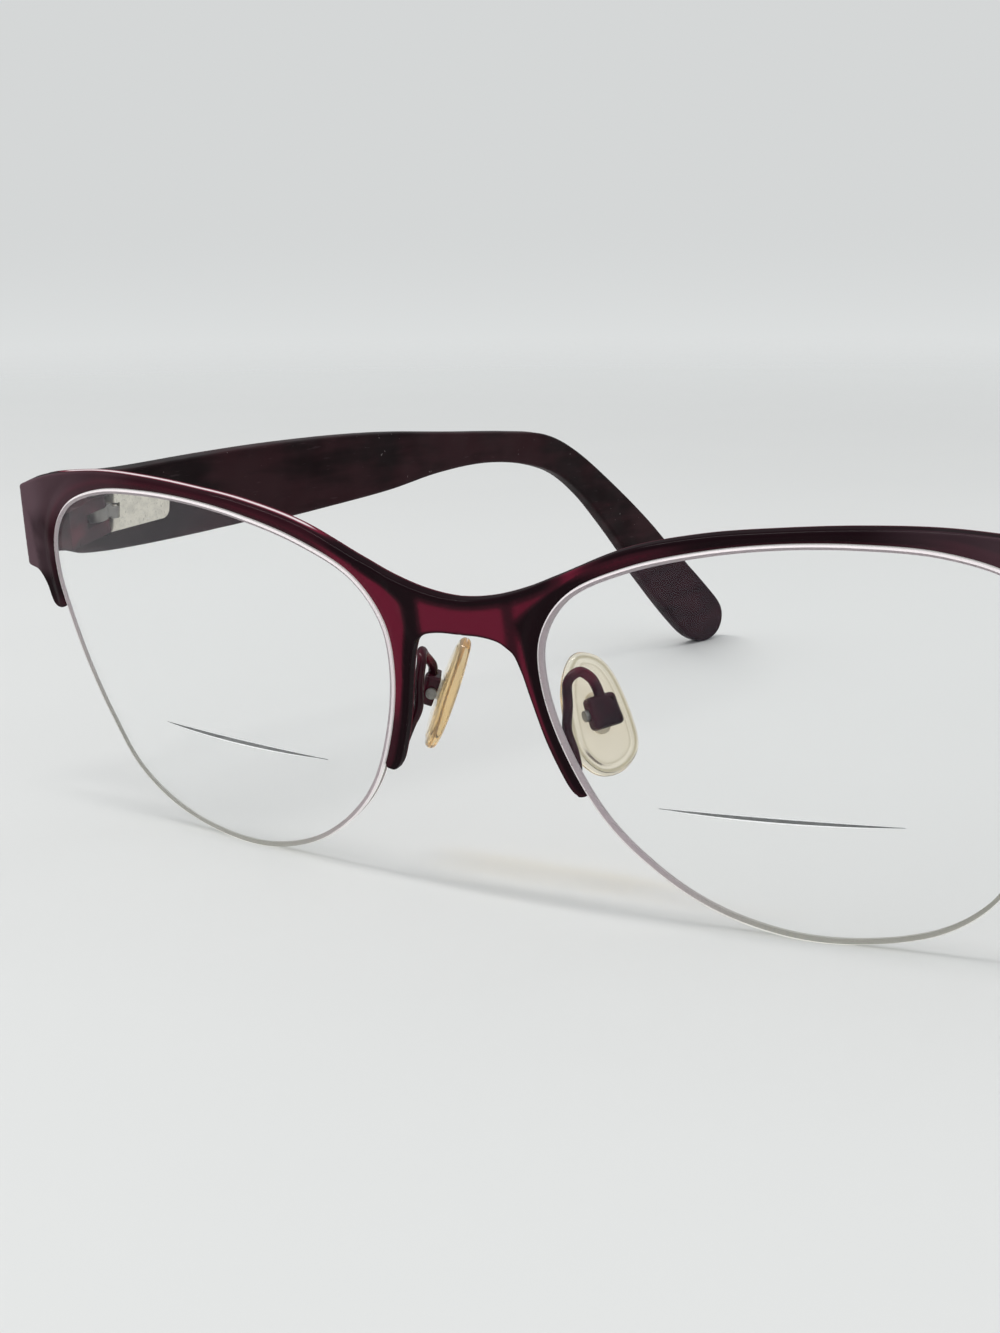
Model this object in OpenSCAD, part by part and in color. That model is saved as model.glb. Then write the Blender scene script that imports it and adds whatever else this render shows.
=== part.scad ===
// Cat eye eyeglasses: a metal half-rim front, two bifocal lenses held by nylon cord, nose pads on
// wire arms, and moulded temples on sprung hinges. Millimetres.
//
// Every piece is drawn in the wearer's frame: X across the face, Y back towards the ears, Z up in the
// plane of the lenses, with the deepest point of the front on X = 0. worn() then tips the whole pair
// forward until the lenses and the temple tips stand on Z = 0, and centres it on the origin.
// Only the wearer's left half (+X) is drawn, and the right half is its mirror image.

/* [Lenses] */
// Width of one lens
lens_w = 52; // [46:0.5:58]
// Height of one lens
lens_h = 42; // [36:0.5:46]
// Thickness of a lens at its edge
lens_t = 1.8; // [1.8:0.1:3]
// Radius of the ball that the lenses and the front follow
face_r = 267; // [200:1:320]
// Diameter of the reading segment
segment_d = 28; // [25:0.5:32]
// Radius of the reading segment's own, steeper front
segment_r = 104; // [90:1:160]
// Drop of the segment's top line below the lens centre
segment_drop = 7.2; // [5:0.1:9]
// Shift of the segment towards the nose
segment_inset = 2.1; // [1:0.1:3]
// Height of the segment's top line above the segment's centre
segment_top = 5; // [4:0.1:6]

/* [Front] */
// Gap between the two lenses
bridge_w = 17.8; // [15:0.1:21]
// Height of the bridge bar at its middle
bridge_h = 3.8; // [3:0.1:5]
// Height of the bridge's lower edge above the lens centre
bridge_z = 9.5; // [8.5:0.1:10.5]
// Thinnest height of the brow bar
brow_h = 1.2; // [1:0.1:1.6]
// Width of the arm that runs down beside the nose
arm_w = 1.7; // [1.4:0.1:2.2]
// Depth of the rim from front to back
rim_depth = 1.6; // [1.5:0.1:2]
// How far the end piece reaches out past the lens
end_reach = 5.7; // [5.2:0.1:6.5]
// Height of the end piece's bottom corner above the lens centre
end_low = 8.7; // [8:0.1:9.5]
// Height of the end piece's top corner above the lens centre
end_high = 18.4; // [17.6:0.1:18.8]
// Thickness of the side wall behind the end piece
wall_t = 1; // [0.8:0.1:1.3]
// Length of the side wall from the front face to the temple
wall_len = 9.1; // [8.5:0.1:9.6]
// Outward splay of the side wall in degrees
wall_splay = 15; // [10:1:18]
// Inward lean of the end piece at its top in degrees
wall_lean = 7; // [4:1:9]

/* [Nylon] */
// Diameter of the cord that holds the lens from below
cord_d = 0.56; // [0.4:0.02:0.7]
// Width of the strip in the upper rim
liner_w = 0.56; // [0.4:0.02:0.7]
// Depth of the groove round the lens edge
lens_groove = 0.6; // [0.5:0.05:0.9]
// Depth of the channel in the rim
rim_channel = 0.5; // [0.4:0.05:0.8]

/* [Hinges] */
// Distance of the hinge screw behind the front's deepest point
hinge_y = 20; // [19.6:0.1:21]
// Height of the hinge's middle above the lens centre
hinge_z = 10.9; // [10:0.1:12]
// Height of the three knuckles together
hinge_h = 4.8; // [4:0.1:6]
// Height of the middle knuckle
eye_h = 1.5; // [1.2:0.1:2]
// Radius of the knuckles
knuckle_r = 1.2; // [1:0.05:1.5]
// Diameter of the hinge screw
screw_d = 0.96; // [0.8:0.02:1.2]
// Diameter of the screw's head
screw_head_d = 1.8; // [1.5:0.1:2.2]
// Length of the spring housing
housing_len = 8.6; // [7.5:0.1:10]
// Height of the spring housing at its front
housing_h = 5.2; // [4.6:0.1:5.4]
// How far the housing's lower edge rises towards its rear end
housing_rise = 0.75; // [0:0.05:0.9]
// Thickness of the spring housing
housing_t = 2.6; // [2.5:0.1:2.9]
// How far the housing stands proud of the temple's inner face
housing_proud = 0.8; // [0.5:0.1:1]
// Gap from the hinge screw's axis to the housing's front
housing_gap = 2.8; // [2.4:0.1:3.2]
// Diameter of the slider's stem
stem_d = 0.9; // [0.7:0.05:1]
// Diameter of the spring's wire
spring_wire_d = 0.3; // [0.2:0.02:0.36]
// Turns of the spring
spring_turns = 7; // [5:1:9]

/* [Temples] */
// Length along the temple from the hinge screw to its tip
temple_len = 135; // [125:1:150]
// Length along the temple from the hinge screw to the bend at the ear
ear_at = 84; // [78:1:92]
// Thickness of the temple at the hinge
temple_t = 3.5; // [3.1:0.1:4]
// Thickness of the temple at its slimmest
temple_mid_t = 2.7; // [2.5:0.1:3]
// Inward angle of the temple seen from above in degrees
temple_in = 9.2; // [5:0.1:10]
// Downward angle of the temple from square to the lens in degrees
temple_drop = 15.4; // [12:0.1:17]
// Width of the metal core inside the temple
core_w = 1.6; // [1.2:0.1:2]
// Thickness of the metal core inside the temple
core_t = 1.2; // [0.8:0.1:1.4]

/* [Nose pads] */
// Length of a pad
pad_len = 13; // [11:0.5:15]
// Width of a pad
pad_w = 7.5; // [6.5:0.1:8.5]
// Thickness of a pad at its middle
pad_t = 1.8; // [1.4:0.1:2.2]
// Distance of a pad's middle from the centre line
pad_x = 9.5; // [9.4:0.1:10.5]
// Distance of a pad's middle behind the front's deepest point
pad_y = 9.6; // [9.2:0.1:10.5]
// Height of a pad's middle against the lens centre
pad_z = -2; // [-4:0.1:-1.5]
// Diameter of the wire arm
wire_d = 1.1; // [0.9:0.05:1.3]
// Length of the pad box along the pad
box_len = 3.4; // [3.2:0.1:4]
// Width of the pad box across the pad
box_w = 3.4; // [3.4:0.1:4.4]
// Depth of the pad box
box_d = 1.7; // [1.6:0.1:2.2]
// Wall of the pad box
box_wall = 0.5; // [0.4:0.05:0.6]
// Diameter of the pad screw
pad_screw_d = 0.7; // [0.6:0.05:0.8]

/* [Fits] */
// Gap all round a turning screw or a sliding stem
running_fit = 0.05; // [0.03:0.01:0.08]
// Gap between two pieces that are fixed together
seat_fit = 0.02; // [0.01:0.01:0.03]
// Gap at the end of the temple where it meets the side wall
butt_gap = 0.25; // [0.2:0.05:0.4]

/* [Hidden] */

// Colours
enamel = [0.36, 0.07, 0.16];
acetate = [0.17, 0.10, 0.12];
silver = [0.76, 0.75, 0.70];
clear = [0.86, 0.90, 0.92, 0.35];
amber = [0.88, 0.74, 0.48, 0.7];
nylon = [0.80, 0.79, 0.76];

// Smoothness of big balls, of round parts, and of each span of a curve
ball_fn = 300;
round_fn = 48;
curve_steps = 5;

// Reach of the cutting shapes, past the whole pair
far = 90;

// Curve helpers
function spline(a, b, c, d, t) =
    0.5 * (2 * b + (c - a) * t + (2 * a - 5 * b + 4 * c - d) * t * t
    + (3 * b - a - 3 * c + d) * t * t * t);
function closed_curve(k, steps) = [
    for (i = [0 : len(k) - 1])
        for (j = [0 : steps - 1])
            spline(k[(i + len(k) - 1) % len(k)], k[i], k[(i + 1) % len(k)], k[(i + 2) % len(k)],
                j / steps)
];
function open_curve(k, steps) = concat([
    for (i = [0 : len(k) - 2])
        for (j = [0 : steps - 1])
            spline(i == 0 ? 2 * k[0] - k[1] : k[i - 1], k[i], k[i + 1],
                i == len(k) - 2 ? 2 * k[i + 1] - k[i] : k[i + 2], j / steps)
], [k[len(k) - 1]]);
function unit(v) = v / norm(v);
function arc(centre, r, from, to, n) = [
    for (i = [0 : n]) centre + r * [cos(from + (to - from) * i / n), sin(from + (to - from) * i / n)]
];

// Lens outline about the lens centre: first number towards the temple, second up
lens_size_ref = [52, 42];
lens_scale = [lens_w / lens_size_ref.x, lens_h / lens_size_ref.y];
lens_knots = [
    [0, 20.7], [7.6, 20.8], [15, 20.1], [21.3, 17.9], [25, 14], [26, 9], [25.2, 3.5],
    [23.6, -2.8], [21.3, -9], [18.2, -15], [12.5, -19.1], [5, -20.8], [-2.5, -20.7],
    [-10, -18.5], [-16.2, -14.5], [-21, -9.2], [-24.3, -2.2], [-25.9, 4.6], [-25.4, 10.3],
    [-21.8, 15], [-15.1, 18], [-7.5, 19.8]
];
lens_x = bridge_w / 2 + lens_w / 2;
lens_curve = closed_curve(lens_knots, curve_steps);
lens_count = len(lens_curve);
function lens_at(i) =
    let (p = lens_curve[(i + lens_count) % lens_count])
    [lens_x + p.x * lens_scale.x, p.y * lens_scale.y];
function lens_out(i) =
    let (t = lens_at(i + 1) - lens_at(i - 1))
    unit([-t.y, t.x]);
function lens_edge(i, d) = lens_at(i) + d * lens_out(i);
function lens_loop(d) = [for (i = [0 : lens_count - 1]) lens_edge(i, d)];
function lens_band(i0, i1, d0, d1) = concat(
    [for (i = [i0 : i1]) lens_edge(i, d1)],
    [for (i = [i1 : -1 : i0]) lens_edge(i, d0)]);

// Stretches of the outline, counted in points: the rim runs from beside the nose over the top
rim_from = 77;
rim_to = lens_count + 28;
liner_from = 80;
liner_to = lens_count + 25;
cord_from = 27;
cord_to = 78;

// The ball that the front follows
ball_z = -2.4;
ball_centre = [0, face_r, ball_z];
function face_y(x, z, back) =
    face_r - sqrt((face_r - back) * (face_r - back) - x * x - (z - ball_z) * (z - ball_z));
lens_proud = (lens_t - rim_depth) / 2;
mid_depth = rim_depth / 2;

// Outline of the front, one half, from the bridge's top round to the bridge's underside
function side(dx, z) = [lens_x + lens_w / 2 + dx, z * lens_scale.y];
function rim_over(knot, extra) = lens_edge(knot * curve_steps, brow_h + extra);
function arm_over(i, extra) = lens_edge(i, arm_w + extra);
bridge_ref = 17.8;
bridge_unit = bridge_w / bridge_ref;
bridge_top = (bridge_z + bridge_h) * lens_scale.y;
bridge_low = bridge_z * lens_scale.y;
end_half = (end_high - end_low) / 2;
lean_shift = end_half * tan(wall_lean);
top_knots = [
    [0, bridge_top], [4 * bridge_unit, bridge_top + 0.45], [8 * bridge_unit, bridge_top + 1.6],
    rim_over(19, 0.7), rim_over(20, 0.4), rim_over(21, 0.2), rim_over(0, 0), rim_over(1, 0.2),
    rim_over(2, 0.7), rim_over(3, 2.25), side(0.9, end_high + 1.5), side(2.9, end_high + 0.9),
    side(end_reach - lean_shift - 0.4, end_high + 0.25)
];
end_knots = [
    side(end_reach - lean_shift, end_high - 0.1), side(end_reach + lean_shift, end_low + 0.2)
];
lug_knots = [
    side(end_reach + lean_shift - 0.3, end_low - 0.2), side(4.2, end_low - 0.6),
    side(3.5, end_low - 1.3), side(3, end_low - 2.4), side(2.75, end_low - 3.6)
];
lug_tip = [side(2.4, 4.2), side(1.7, 3.8), side(0.6, 4), side(-0.2, 4.9)];
inside_lens = [[lens_x + lens_w / 4, 0], [lens_x - lens_w / 4, -5]];
arm_tip = [
    lens_edge(rim_from, -0.1), lens_edge(rim_from, 0.2) + [0, -0.2],
    lens_edge(rim_from, arm_w * 0.45) + [0, -0.15], lens_edge(rim_from, arm_w * 0.75) + [0, 0.05],
    lens_edge(rim_from, arm_w) + [0, 0.45]
];
arm_knots = [
    arm_over(rim_from + 1, 0), arm_over(rim_from + 4, 0), arm_over(rim_from + 7, 0.05),
    arm_over(rim_from + 9, 0.42),
    [6.05 * bridge_unit, bridge_low - 1.7], [5.3 * bridge_unit, bridge_low - 0.9],
    [4.2 * bridge_unit, bridge_low - 0.3], [2.3 * bridge_unit, bridge_low], [0, bridge_low]
];
front_half = concat(open_curve(top_knots, curve_steps), end_knots, open_curve(lug_knots, 3),
    lug_tip, inside_lens, arm_tip, open_curve(arm_knots, curve_steps));

// Side wall and hinge
wall_x = lens_x + lens_w / 2 + end_reach;
lean_z = (end_low + end_half) * lens_scale.y;
wall_front_y = face_y(wall_x, lean_z, 0);
wall_dir = [sin(wall_splay), cos(wall_splay)];
wall_in = [-cos(wall_splay), sin(wall_splay)];
wall_root = [wall_x, wall_front_y + 0.3];
wall_end = wall_root + wall_len * wall_dir;
temple_gap = knuckle_r + 0.1;
pivot = [
    wall_end.x - cos(temple_in) * (temple_gap + temple_t)
        - tan(temple_in) * (hinge_y - wall_end.y), hinge_y, hinge_z * lens_scale.y
];
knuckle_low = eye_h / 2 + running_fit;
temple_front = butt_gap - (hinge_y - wall_end.y) / (cos(temple_in) * cos(temple_drop));
stub_len = 4.2;
foot_len = 3.6;
foot_back = 0.9;

// Housing, in the temple's own frame: X out from the screw, Y along the temple, Z up
housing_x0 = temple_gap - housing_proud;
housing_x1 = housing_x0 + housing_t;
housing_y1 = housing_gap + housing_len;
function housing_outline(grow) = concat(
    [[housing_gap - grow, -housing_h / 2 - grow]],
    arc([housing_y1 - 1.1, housing_rise + 1.1 - housing_h / 2], 1.1 + grow, -90, 0, 5),
    arc([housing_y1 - 0.6, housing_h / 2 - 0.6], 0.6 + grow, 0, 90, 5),
    [[housing_gap - grow, housing_h / 2 + grow]]);
bore_x = housing_x0 + housing_t / 2;
bore_d = 1.8;
mouth_t = 1;
mouth_w = 1.5;
spring_y0 = housing_gap + mouth_t + seat_fit;
bore_end = 0.8;
retainer_t = 0.6;
retainer_travel = 1.1;
retainer_y = housing_y1 - bore_end - retainer_travel - retainer_t;
spring_len = retainer_y - spring_y0 - seat_fit;
shank_h = mouth_w - 2 * running_fit;
slot_h = 2.6;
pocket_h = 6.2;
pocket_t = 0.6;

// Temple outline, in the temple's own frame: first number along, second up
bend_ref = 84;
temple_ref = 135;
tip_scale = (temple_len - ear_at) / (temple_ref - bend_ref);
function along(p, q) = p <= bend_ref
    ? [p * ear_at / bend_ref, q]
    : [ear_at + (p - bend_ref) * tip_scale, q * tip_scale];
temple_top = [
    [temple_front, 4.6], [temple_front + 0.4, 4.85], along(5.7, 5.05), along(18.7, 6),
    along(29, 6.6), along(41, 6.95), along(51.4, 6.85), along(63.6, 6.2), along(76, 5.6),
    along(84, 4.75), along(90.8, 2.1), along(99.4, -3.1), along(109.6, -10.1),
    along(119.6, -18), along(127.8, -24.3), along(131.3, -27.4)
];
temple_tip = [along(132, -29.9), along(130.7, -32), along(127.6, -32.8)];
temple_low = [
    along(124.4, -31.8), along(120.5, -29.1), along(114.4, -24), along(106.7, -17),
    along(99.2, -10.1), along(92.8, -4.8), along(86.3, -1.1), along(78.5, 0.8), along(70, 1.4),
    along(60.5, 0.6), along(50.8, -1.1), along(39, -2.5), along(28.3, -3.6), along(15.9, -4.5),
    along(5, -4.95), [temple_front + 0.7, -4.8], [temple_front, -4.2]
];
temple_outline = open_curve(concat(temple_top, temple_tip, temple_low), 4);
temple_x0 = temple_gap;
temple_x1 = temple_gap + temple_t;
core_knots = [
    [housing_y1 + 1.2, 0.6], along(28, 1.5), along(42, 2.4), along(56, 3.4), along(70, 3.6),
    along(82, 2.6), along(90, -0.3), along(99, -6.1), along(109, -13.8), along(121, -23.8)
];
core_line = open_curve(core_knots, 4);
core_x0 = temple_x0 + (temple_mid_t - core_t) / 2;
function line_out(k, i) =
    let (t = k[min(i + 1, len(k) - 1)] - k[max(i - 1, 0)])
    unit([-t.y, t.x]);
function ribbon(k, half) = concat(
    [for (i = [0 : len(k) - 1]) k[i] + half * line_out(k, i)],
    [for (i = [len(k) - 1 : -1 : 0]) k[i] - half * line_out(k, i)]);

// Where a point of the temple's frame lies in the wearer's frame
function temple_to_face(x, p, q) =
    let (y = p * cos(temple_drop) + q * sin(temple_drop))
    [
        pivot.x + x * cos(temple_in) - y * sin(temple_in),
        pivot.y + x * sin(temple_in) + y * cos(temple_in),
        pivot.z - p * sin(temple_drop) + q * cos(temple_drop)
    ];

// Forward tip that puts the lenses and the temple tips on one level
lens_rim_points = [
    for (i = [0 : lens_count - 1])
        let (p = lens_at(i)) [p.x, face_y(p.x, p.y, -lens_proud), p.y]
];
temple_points = [
    for (p = temple_outline)
        for (x = [temple_x0, temple_x0 + temple_mid_t]) temple_to_face(x, p.x, p.y)
];
function lowest(points, tilt) = min([for (p = points) p.y * sin(tilt) + p.z * cos(tilt)]);
function level(lo, hi, n) =
    let (mid = (lo + hi) / 2)
    n == 0 ? mid
    : lowest(temple_points, mid) < lowest(lens_rim_points, mid) ? level(mid, hi, n - 1)
    : level(lo, mid, n - 1);
tilt = level(0, 30, 30);
floor_z = lowest(lens_rim_points, tilt);
front_y = min([
    for (p = front_half) face_y(p.x, p.y, 0) * cos(tilt) - p.y * sin(tilt)
]);
back_y = max([for (p = temple_points) p.y * cos(tilt) - p.z * sin(tilt)]);

// Nose pad's own frame: X across the pad, Y up the pad, Z out of its back towards the box
pad_up = unit([-0.367, 0.272, 0.884]);
pad_across = unit(cross(pad_up, [0.775, -0.454, 0.431]));
pad_out = cross(pad_across, pad_up);
pad_centre = [pad_x, pad_y, pad_z];
pad_clear = 0.3;
pad_crown_r = 80;
insert_t = 0.5;
insert_size = [2, 4.4];
insert_lug = [box_w - 2 * box_wall - 0.5, 1.6];
box_back = 0.3;
box_z0 = pad_t / 2 + pad_clear;
pad_screw_z = box_z0 + box_d - box_back - insert_lug.y / 2 - running_fit;
function pad_to_face(x, y, z) = pad_centre + x * pad_across + y * pad_up + z * pad_out;

// Route of the wire arm, from the back of the rim up and over to the top of the pad box
arm_root = lens_edge(rim_from + 1, arm_w * 0.5);
wire_root = [arm_root.x, face_y(arm_root.x, arm_root.y, rim_depth), arm_root.y];
wire_end = pad_to_face(0, box_len / 2 - 0.2, box_z0 + box_d * 0.55);
wire_knots = [
    wire_root - [0, 0.6, 0], wire_root + [0, 0.6, 0.5], wire_root + [-0.6, 1.4, 2.1],
    wire_root + [-1.5, 2.1, 4], wire_root + [-1.5, 2.9, 6.4], wire_end + [-1.4, -3.5, 3],
    wire_end + [-0.75, -2.2, 3.65], wire_end + [-0.2, -1.05, 2.6], wire_end + [-0.2, -0.1, 1.1],
    wire_end
];
wire_line = open_curve(wire_knots, 4);

// Tube swept along a line of points, with flat ends
function tangent(k, i) = unit(k[min(i + 1, len(k) - 1)] - k[max(i - 1, 0)]);
function tube_points(k, r, sides, up) = [
    for (i = [0 : len(k) - 1])
        let (t = tangent(k, i), a = unit(cross(t, up)), b = cross(t, a))
        for (s = [0 : sides - 1]) k[i] + r * (a * cos(360 * s / sides) + b * sin(360 * s / sides))
];
module tube(k, r, sides, up) {
    n = len(k);
    walls = [
        for (i = [0 : n - 2])
            for (s = [0 : sides - 1])
                let (a = i * sides + s, b = i * sides + (s + 1) % sides)
                for (f = [[a, a + sides, b], [b, a + sides, b + sides]]) f
    ];
    caps = concat(
        [for (s = [1 : sides - 2]) [0, s, s + 1]],
        [for (s = [1 : sides - 2]) [(n - 1) * sides, (n - 1) * sides + s + 1, (n - 1) * sides + s]]);
    polyhedron(points = tube_points(k, r, sides, up), faces = concat(walls, caps));
}

// Placing helpers
module worn() {
    translate([0, -(front_y + back_y) / 2, -floor_z]) rotate([tilt, 0, 0]) children();
}
module left() {
    worn() children();
}
module right() {
    worn() mirror([1, 0, 0]) children();
}
module facing() {
    translate([0, 60, 0]) rotate([90, 0, 0]) children();
}
module ball(back) {
    translate(ball_centre) sphere(r = face_r - back, $fn = ball_fn);
}
module layer(outline, back0, back1) {
    difference() {
        intersection() {
            facing() linear_extrude(height = far) polygon(outline);
            ball(back0);
        }
        ball(back1);
    }
}
module at_pivot() {
    translate(pivot) rotate([0, 0, temple_in]) children();
}
module on_temple() {
    at_pivot() rotate([-temple_drop, 0, 0]) children();
}
module leaning() {
    translate([wall_x, 0, lean_z]) rotate([0, -wall_lean, 0]) translate([-wall_x, 0, -lean_z])
        children();
}
module on_pad() {
    multmatrix([
        [pad_across.x, pad_up.x, pad_out.x, pad_centre.x],
        [pad_across.y, pad_up.y, pad_out.y, pad_centre.y],
        [pad_across.z, pad_up.z, pad_out.z, pad_centre.z],
        [0, 0, 0, 1]
    ]) children();
}
module sideways(outline, x0, x1) {
    translate([x0, 0, 0]) rotate([90, 0, 90]) linear_extrude(height = x1 - x0) polygon(outline);
}

// Front: the brow, bridge, nose arms, lugs and side walls are one metal piece
module side_wall() {
    overlap = 0.5;
    foot = wall_root - overlap * wall_dir;
    tail = wall_end + 3 * wall_dir;
    front_y = wall_root.y - 0.3;
    function tail_y(z) = wall_end.y + (z - pivot.z) * tan(temple_drop);
    top_z = pivot.z + 5.4;
    low_z = pivot.z - 3.8;
    intersection() {
        leaning() translate([0, 0, -10]) linear_extrude(height = far) polygon([
            foot, tail, tail + wall_t * wall_in, foot + wall_t * wall_in
        ]);
        sideways([
            [front_y, end_high * lens_scale.y], [tail_y(top_z), top_z], [tail_y(low_z), low_z],
            [front_y, (end_low + 0.2) * lens_scale.y]
        ], wall_x - 8, wall_x + 8);
    }
}
module front_side() {
    past_rim = 8;
    difference() {
        layer(front_half, 0, rim_depth);
        facing() linear_extrude(height = far) polygon(lens_loop(seat_fit));
        layer(lens_band(rim_from - past_rim, rim_to + past_rim, -1, rim_channel + seat_fit),
            mid_depth - liner_w / 2 - seat_fit, mid_depth + liner_w / 2 + seat_fit);
    }
    side_wall();
}
module front_frame() {
    color(enamel) {
        front_side();
        mirror([1, 0, 0]) front_side();
    }
}

// Lens with the groove round its edge and the ledge of the reading segment
module lens() {
    centre = [lens_x - segment_inset, -segment_drop - segment_top];
    centre_y = face_y(centre.x, centre.y, -lens_proud);
    half_chord = segment_d / 2;
    rise = half_chord * half_chord / 2 * (1 / segment_r - 1 / face_r);
    outward = unit([centre.x, centre_y - face_r, centre.y - ball_z]);
    color(clear) difference() {
        union() {
            layer(lens_loop(0), -lens_proud, rim_depth + lens_proud);
            intersection() {
                facing() linear_extrude(height = far) intersection() {
                    polygon(lens_loop(-0.4));
                    translate(centre) circle(r = half_chord + 0.5, $fn = 96);
                    translate([centre.x - 20, centre.y + segment_top - 40]) square([40, 40]);
                }
                translate([centre.x, centre_y, centre.y] + (rise - segment_r) * outward)
                    sphere(r = segment_r, $fn = ball_fn);
                translate([0, -10, -30]) cube([80, 12 + lens_t, 60]);
            }
        }
        difference() {
            layer(lens_loop(2), mid_depth - cord_d / 2 - seat_fit, mid_depth + cord_d / 2 + seat_fit);
            facing() linear_extrude(height = far) polygon(lens_loop(-lens_groove));
        }
        ball(rim_depth + lens_proud);
    }
}
module rim_liner() {
    color(nylon)
        layer(lens_band(liner_from, liner_to, -lens_groove + seat_fit, rim_channel),
            mid_depth - liner_w / 2 + seat_fit / 2, mid_depth + liner_w / 2 - seat_fit / 2);
}
module nylon_cord() {
    inset = -cord_d / 2 - seat_fit;
    line = [
        for (i = [cord_from : cord_to])
            let (p = lens_edge(i, inset)) [p.x, face_y(p.x, p.y, mid_depth), p.y]
    ];
    color(nylon) tube(line, cord_d / 2 - seat_fit / 2, 8, [0, 1, 0]);
}

// Nose pad assembly
module pad_arm() {
    color(enamel) difference() {
        intersection() {
            tube(wire_line, wire_d / 2, 10, unit([0.8, 0.5, 0.1]));
            ball(rim_depth + seat_fit);
        }
        on_pad() translate([-box_w, -box_len, box_z0 - 1])
            cube([2 * box_w, box_len * 1.5 + seat_fit, box_d + 2]);
    }
}
module pad_box() {
    color(enamel) on_pad() difference() {
        translate([-box_w / 2, -box_len / 2, box_z0]) cube([box_w, box_len, box_d]);
        translate([box_wall - box_w / 2, box_wall - box_len / 2, box_z0 - 1])
            cube([box_w - 2 * box_wall, box_len - 2 * box_wall, box_d - box_back + 1]);
        translate([-box_w, 0, pad_screw_z]) rotate([0, 90, 0])
            cylinder(h = 2 * box_w, r = pad_screw_d / 2 + seat_fit, $fn = round_fn);
    }
}
module pad_screw() {
    head = 0.45;
    color(silver) on_pad() translate([0, 0, pad_screw_z]) rotate([0, 90, 0]) {
        translate([0, 0, -box_w / 2 - head / 2])
            cylinder(h = box_w + head / 2, r = pad_screw_d / 2, $fn = round_fn);
        translate([0, 0, -box_w / 2 - head - seat_fit])
            cylinder(h = head, r = pad_screw_d * 0.85, $fn = round_fn);
    }
}
module pad_insert() {
    color(silver) on_pad() difference() {
        union() {
            translate([-insert_lug.x / 2, -insert_lug.y / 2, 0])
                cube([insert_lug.x, insert_lug.y, pad_screw_z]);
            translate([0, 0, pad_screw_z]) rotate([0, 90, 0])
                cylinder(h = insert_lug.x, r = insert_lug.y / 2, center = true, $fn = round_fn);
            linear_extrude(height = insert_t) offset_bar(insert_size.y, insert_size.x);
        }
        translate([-box_w, 0, pad_screw_z]) rotate([0, 90, 0])
            cylinder(h = 2 * box_w, r = pad_screw_d / 2 + running_fit, $fn = round_fn);
    }
}
module offset_bar(length, width) {
    translate([0, (length - width) / 2]) circle(d = width, $fn = round_fn);
    translate([0, (width - length) / 2]) circle(d = width, $fn = round_fn);
    translate([-width / 2, (width - length) / 2]) square([width, length - width]);
}
module pad_outline() {
    low = -pad_len / 2;
    high = pad_len / 2;
    half = pad_w / 2;
    polygon(closed_curve([
        [0, high], [half * 0.55, high - 1], [half * 0.86, high - 3.4], [half, 0.2 * low],
        [half * 0.93, 0.66 * low], [half * 0.5, low + 0.5], [-half * 0.1, low],
        [-half * 0.62, low + 0.8], [-half, 0.5 * low], [-half * 0.98, 0],
        [-half * 0.8, high - 3.2], [-half * 0.42, high - 0.8]
    ], curve_steps));
}
module nose_pad() {
    rise = pad_crown_r - pad_t / 2;
    grow = 2 * seat_fit;
    color(amber) on_pad() difference() {
        intersection() {
            translate([0, 0, -3]) linear_extrude(height = 6) pad_outline();
            translate([0, 0, rise]) sphere(r = pad_crown_r, $fn = ball_fn);
            translate([0, 0, -rise]) sphere(r = pad_crown_r, $fn = ball_fn);
        }
        translate([0, 0, -seat_fit]) linear_extrude(height = insert_t + grow)
            offset_bar(insert_size.y + grow, insert_size.x + grow);
        translate([-insert_lug.x / 2 - seat_fit, -insert_lug.y / 2 - seat_fit, 0])
            cube([insert_lug.x + grow, insert_lug.y + grow, 3]);
    }
}

// Hinge: two knuckles on the front, one on the slider, and the screw through all three
module knuckle(z0, z1) {
    translate([0, 0, z0]) cylinder(h = z1 - z0, r = knuckle_r, $fn = round_fn);
    translate([-knuckle_r, -stub_len, z0]) cube([2 * knuckle_r, stub_len, z1 - z0]);
}
module hinge_block() {
    wall_face = wall_root + (wall_t + seat_fit) * wall_in;
    foot_y1 = wall_end.y - foot_back;
    foot_y0 = foot_y1 - foot_len;
    function on_wall(y) = wall_face + (y - wall_face.y) / wall_dir.y * wall_dir;
    color(enamel) difference() {
        union() {
            at_pivot() {
                knuckle(knuckle_low, hinge_h / 2);
                knuckle(-hinge_h / 2, -knuckle_low);
            }
            intersection() {
                leaning() translate([0, 0, -10]) linear_extrude(height = far) polygon([
                    on_wall(foot_y0), on_wall(foot_y1), [pivot.x - knuckle_r, foot_y1],
                    [pivot.x - knuckle_r + 0.4, foot_y0 + 1]
                ]);
                translate([0, 0, pivot.z - hinge_h / 2]) cube([far, far, hinge_h]);
            }
        }
        translate(pivot) cylinder(h = 20, r = screw_d / 2 + running_fit, center = true,
            $fn = round_fn);
    }
}
module hinge_screw() {
    head = 0.5;
    color(silver) translate(pivot) {
        translate([0, 0, -hinge_h / 2]) cylinder(h = hinge_h + head, r = screw_d / 2, $fn = round_fn);
        translate([0, 0, hinge_h / 2 + running_fit])
            cylinder(h = head, r = screw_head_d / 2, $fn = round_fn);
    }
}
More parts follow.
